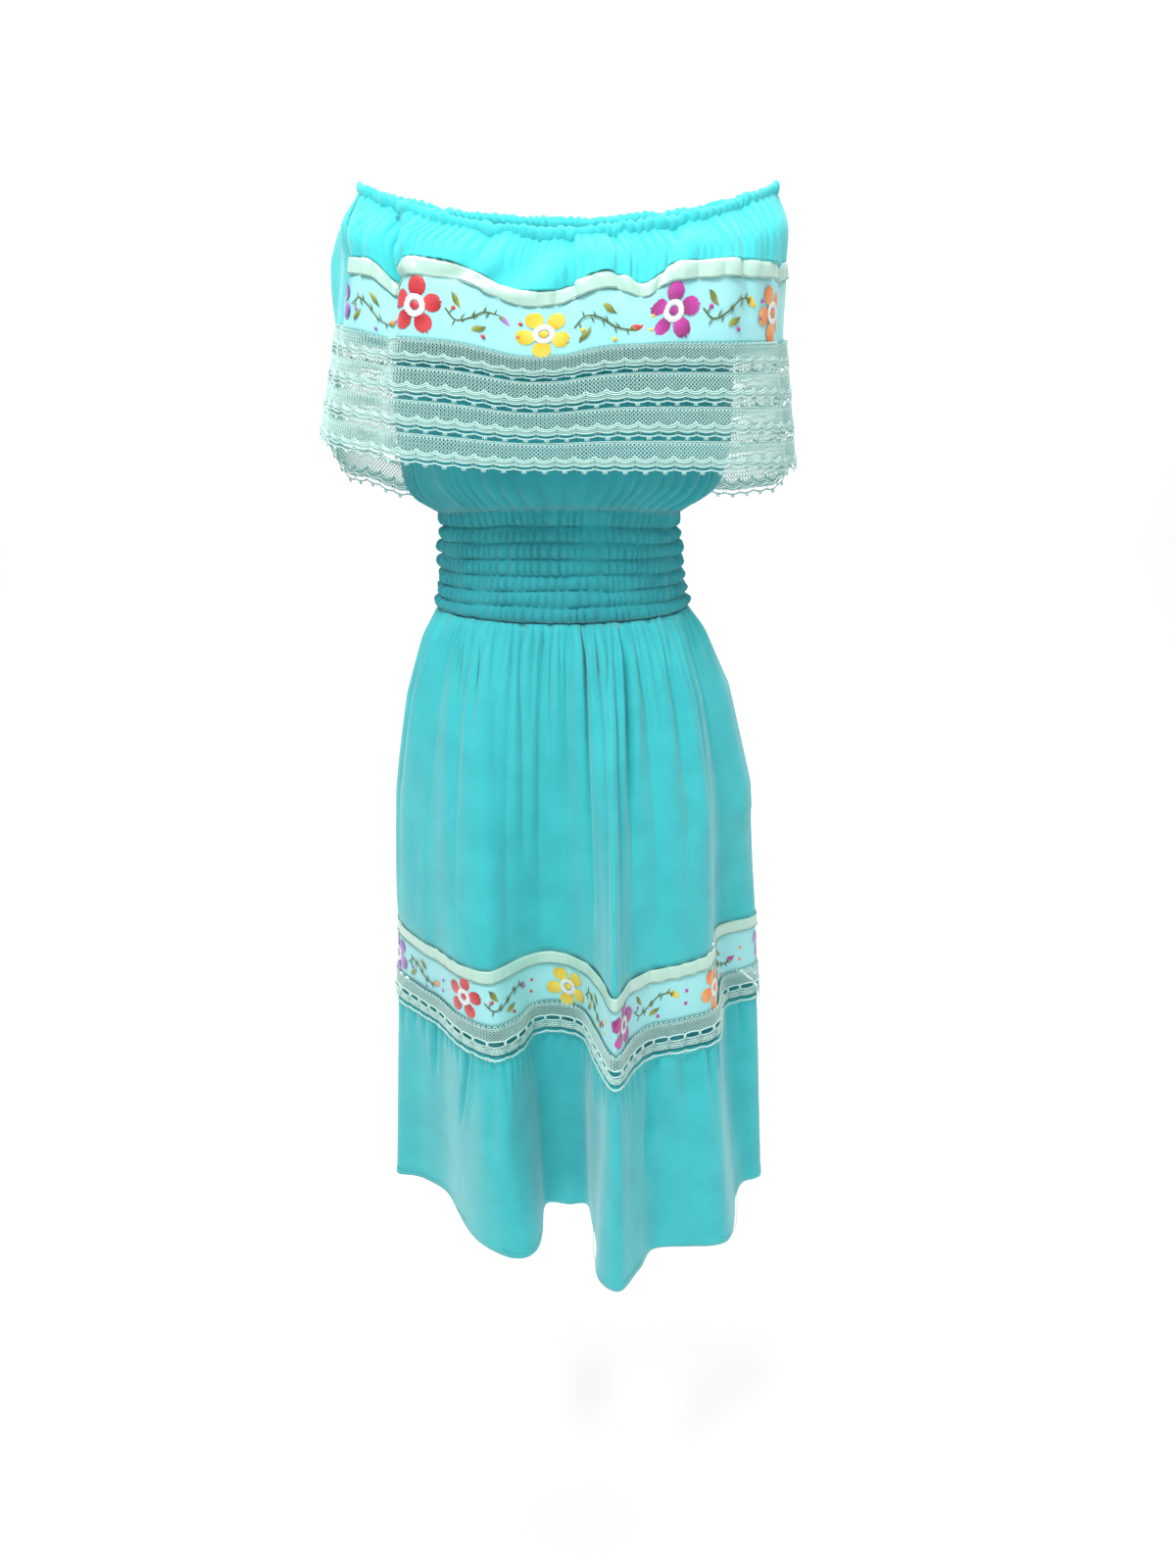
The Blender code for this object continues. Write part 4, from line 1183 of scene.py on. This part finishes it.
def make_ruffle():
    """The gathered ruffle and its narrow turned hem, which stands a little proud."""
    master = masters()[2]
    high, low = drop_of(SKIRT, "lace_foot"), SKIRT[-1].z_front
    hem = bpy.context.scene.dress_sizes.hem * MM
    for name, start, end, salt in (("ruffle_front", 0.0, 180.0, 161), ("ruffle_back", 180.0, 360.0, 171)):
        drop, turn, along = grid(master, high + 0.002, low, 46, start, end, 340)
        below = high - drop
        reach = 0.035 + 0.075 * (0.5 + 0.5 * wander(along, 0.02, salt)) ** 2
        fine = 0.0085 * (gathers(along, 0.016, salt + 1) - 0.5) * fade(below, reach)
        fine = fine * np.clip(below / 0.008, 0.1, 1)
        soft = 0.0045 * wander(along + 0.12 * below, 0.05, salt + 3) * np.clip(below / 0.08, 0, 1)
        share = panel_share(along)
        edge = np.clip(np.minimum(share, 1 - share) / 0.02, 0, 1)
        above = drop - low
        turned = 0.0007 * (above < hem) - 0.0006 * np.exp(-(((above - hem) / 0.0022) ** 2))
        points = master.at(drop, turn, (fine + soft) * edge + turned)
        points[..., 2] += 0.0012 * wander(along, 0.03, salt + 6) * np.clip(1 - above / 0.02, 0, 1) * edge
        piece = cloth(name + "_cloth", points, finishes()["skirt"], [name],
                      CLOTH_WALL)
    running_stitch("hem_stitching", master, low + hem, 0, WHOLE_TURN - 0.01,
                   0.0034, 0.0006, 0.0006, 0.3)


def lamp(name, place, aim, size, power):
    light = bpy.data.lights.new(name, "AREA")
    light.energy = power
    light.size = size
    made = bpy.data.objects.new(name, light)
    made.location = place
    made.rotation_euler = (Vector(aim) - Vector(place)).to_track_quat("-Z", "Y").to_euler()
    bpy.context.scene.collection.objects.link(made)


def make_stage():
    """A pale floor that sweeps up behind, soft lamps, a bright sky and the camera."""
    angle = np.linspace(0, np.pi / 2, 13)
    profile = [(-4.0, FLOOR_Z)]
    sweep_y, sweep_z = WALL_Y - SWEEP_RADIUS, FLOOR_Z + SWEEP_RADIUS
    profile += [(sweep_y + SWEEP_RADIUS * np.sin(a), sweep_z - SWEEP_RADIUS * np.cos(a)) for a in angle]
    profile += [(WALL_Y, 4.0)]
    x = np.array([-6.0, 6.0])
    points = np.array([[(side, y, z) for side in x] for y, z in profile])
    rows = len(profile)
    i = np.arange(rows * 2).reshape(rows, 2)
    faces = np.stack([i[:-1, 0], i[:-1, 1], i[1:, 1], i[1:, 0]], axis=-1)
    mesh = bpy.data.meshes.new("floor")
    mesh.from_pydata(points.reshape(-1, 3).tolist(), [], faces.tolist())
    paper, _, _ = base("matt white paper", linear("#F4F4F2"), 0.9)
    mesh.materials.append(paper)
    mesh.shade_smooth()
    floor = bpy.data.objects.new("floor", mesh)
    bpy.context.scene.collection.objects.link(floor)
    lamp("key", (-0.7, -1.6, 1.9), (0, 0, -0.35), 0.7, 58)
    lamp("fill", (0.9, -2.2, 0.1), (0, 0, -0.5), 1.2, 10)
    lamp("rim", (0.6, 1.8, 1.2), (0, 0, -0.4), 1.5, 12)
    lamp("backdrop", (0.0, 0.6, 1.8), (0, 2.4, -0.6), 2.5, 75)
    world = bpy.data.worlds.new("studio")
    bpy.context.scene.world = world
    world.use_nodes = True
    world.node_tree.nodes["Background"].inputs["Color"].default_value = linear("#F7FAFC")
    world.node_tree.nodes["Background"].inputs["Strength"].default_value = SKY_STRENGTH
    camera = bpy.data.cameras.new("camera")
    camera.lens = CAMERA_LENS
    camera.sensor_width = CAMERA_SENSOR
    made = bpy.data.objects.new("camera", camera)
    made.location = CAMERA_PLACE
    made.rotation_euler = (np.radians(CAMERA_PITCH), 0, 0)
    bpy.context.scene.collection.objects.link(made)
    bpy.context.scene.camera = made
    bpy.context.scene.view_settings.view_transform = "Standard"


# ---------------------------------------------------------------- add-on


class DressSizes(bpy.types.PropertyGroup):
    """Sizes a maker may change, in millimetres."""

    flower: FloatProperty(
        name="Flower", description="Width of an embroidered flower, mm", default=47.0, min=10.0,
    )
    lace_repeat: FloatProperty(
        name="Lace repeat", description="Length of one lace motif, mm", default=18.0, min=8.0,
    )
    ruche: FloatProperty(
        name="Casing gathers", description="Pitch of the casing's gathers, mm", default=8.5, min=3.0,
    )
    puff_rows: IntProperty(
        name="Puff rows", description="Rows of cloth between the waist's elastics", default=7, min=2,
    )
    hem: FloatProperty(name="Hem", description="Depth of the turned hem, mm", default=8.0, min=3.0)


class DressColours(bpy.types.PropertyGroup):
    """Dyes, as sRGB hex. Skirt and shirring are the flounce's cotton made darker for painted shade; the
    ribbon and lace shade colours are painted shade.
    """

    turquoise: StringProperty(name="Flounce", description="Flounce cotton", default="#3ED8DC")
    turquoise_shade: StringProperty(
        name="Flounce shade", description="Where it took less dye", default="#34CDD2",
    )
    # Painted shade: skirt and skirt shade are the flounce's two tones made a little darker.
    skirt: StringProperty(name="Skirt", description="Skirt cotton", default="#36C6CC")
    skirt_shade: StringProperty(
        name="Skirt shade", description="Where it took less dye", default="#2EBBC2",
    )
    # Painted shade: shirring and shirring shade are the flounce's two tones made much darker.
    shirring: StringProperty(name="Shirring", description="Shirred cotton", default="#27A6AF")
    shirring_shade: StringProperty(
        name="Shirring shade", description="Where it took less dye", default="#2099A3",
    )
    band: StringProperty(name="Band", description="Embroidered band", default="#A9EEF0")
    band_shade: StringProperty(
        name="Band shade", description="Where it took less dye", default="#9CE6EA",
    )
    ribbon: StringProperty(name="Ribbon", description="Satin ribbon", default="#C8EBDC")
    # Painted shade: the darker satin tone stands in for the ribbon's dark reflections.
    ribbon_painted_shade: StringProperty(
        name="Ribbon shade", description="Satin in the turn of its floats", default="#B2DFCD",
    )
    lace: StringProperty(name="Lace", description="Crochet cotton", default="#DCFBF5")
    # Painted shade: this tone is laid in the hollows of the lace thread's bump.
    lace_painted_shade: StringProperty(
        name="Lace shade", description="Crochet cotton in its twist", default="#C4F1E9",
    )
    seam_thread: StringProperty(name="Seam thread", description="Sewing thread", default="#3C8F92")


class DRESS_OT_casing(bpy.types.Operator):
    """Builds the ruched neck casing."""

    bl_idname = "dress.casing"
    bl_label = "Neck casing"

    def execute(self, context):
        make_casing()
        return {"FINISHED"}


class DRESS_OT_flounce(bpy.types.Operator):
    """Builds the gathered front and back of the flounce."""

    bl_idname = "dress.flounce"
    bl_label = "Flounce"

    def execute(self, context):
        make_flounce()
        return {"FINISHED"}


class DRESS_OT_embroidery(bpy.types.Operator):
    """Stitches the flowers along both bands."""

    bl_idname = "dress.embroidery"
    bl_label = "Embroidery"

    def execute(self, context):
        make_embroidery()
        return {"FINISHED"}


class DRESS_OT_lace(bpy.types.Operator):
    """Lays four rounds of lace on the flounce and one on the skirt."""

    bl_idname = "dress.lace"
    bl_label = "Crochet lace"

    def execute(self, context):
        make_lace()
        return {"FINISHED"}


class DRESS_OT_trims(bpy.types.Operator):
    """Builds the satin ribbons and the bands under the flowers."""

    bl_idname = "dress.trims"
    bl_label = "Ribbons and bands"

    def execute(self, context):
        make_trims()
        return {"FINISHED"}


class DRESS_OT_bodice(bpy.types.Operator):
    """Builds the bodice's front and back."""

    bl_idname = "dress.bodice"
    bl_label = "Bodice"

    def execute(self, context):
        make_bodice()
        return {"FINISHED"}


class DRESS_OT_waist(bpy.types.Operator):
    """Builds the shirred waist."""

    bl_idname = "dress.waist"
    bl_label = "Shirred waist"

    def execute(self, context):
        make_waist()
        return {"FINISHED"}


class DRESS_OT_skirt(bpy.types.Operator):
    """Builds the gathered upper skirt."""

    bl_idname = "dress.skirt"
    bl_label = "Skirt"

    def execute(self, context):
        make_skirt()
        return {"FINISHED"}


class DRESS_OT_ruffle(bpy.types.Operator):
    """Builds the ruffle and its hem."""

    bl_idname = "dress.ruffle"
    bl_label = "Ruffle"

    def execute(self, context):
        make_ruffle()
        return {"FINISHED"}


class DRESS_OT_stage(bpy.types.Operator):
    """Sets up the floor, the lamps, the sky and the camera."""

    bl_idname = "dress.stage"
    bl_label = "Stage"

    def execute(self, context):
        make_stage()
        return {"FINISHED"}


OPERATORS = (
    DRESS_OT_casing,
    DRESS_OT_flounce,
    DRESS_OT_embroidery,
    DRESS_OT_lace,
    DRESS_OT_trims,
    DRESS_OT_bodice,
    DRESS_OT_waist,
    DRESS_OT_skirt,
    DRESS_OT_ruffle,
    DRESS_OT_stage,
)

# Lace and flowers come before the bands.
STEPS = (
    "casing", "flounce", "embroidery", "lace", "trims",
    "bodice", "waist", "skirt", "ruffle", "stage",
)


class DRESS_PT_panel(bpy.types.Panel):
    """Lists the dress's sizes, colours and steps."""

    bl_label = "Peasant dress"
    bl_space_type = "VIEW_3D"
    bl_region_type = "UI"
    bl_category = "Dress"

    def draw(self, context):
        for group in (context.scene.dress_sizes, context.scene.dress_colours):
            for name in group.__annotations__:
                self.layout.prop(group, name)
        for key in STEPS:
            self.layout.operator(f"dress.{key}")


CLASSES = (DressSizes, DressColours, *OPERATORS, DRESS_PT_panel)


def register():
    for cls in CLASSES:
        bpy.utils.register_class(cls)
    bpy.types.Scene.dress_sizes = PointerProperty(type=DressSizes)
    bpy.types.Scene.dress_colours = PointerProperty(type=DressColours)


def unregister():
    del bpy.types.Scene.dress_sizes
    del bpy.types.Scene.dress_colours
    for cls in reversed(CLASSES):
        bpy.utils.unregister_class(cls)


def main():
    register()
    for thing in [o for o in bpy.data.objects if o.type in ("CAMERA", "LIGHT")]:
        bpy.data.objects.remove(thing)
    for key in STEPS:
        getattr(bpy.ops.dress, key)()


if __name__ == "__main__":
    main()
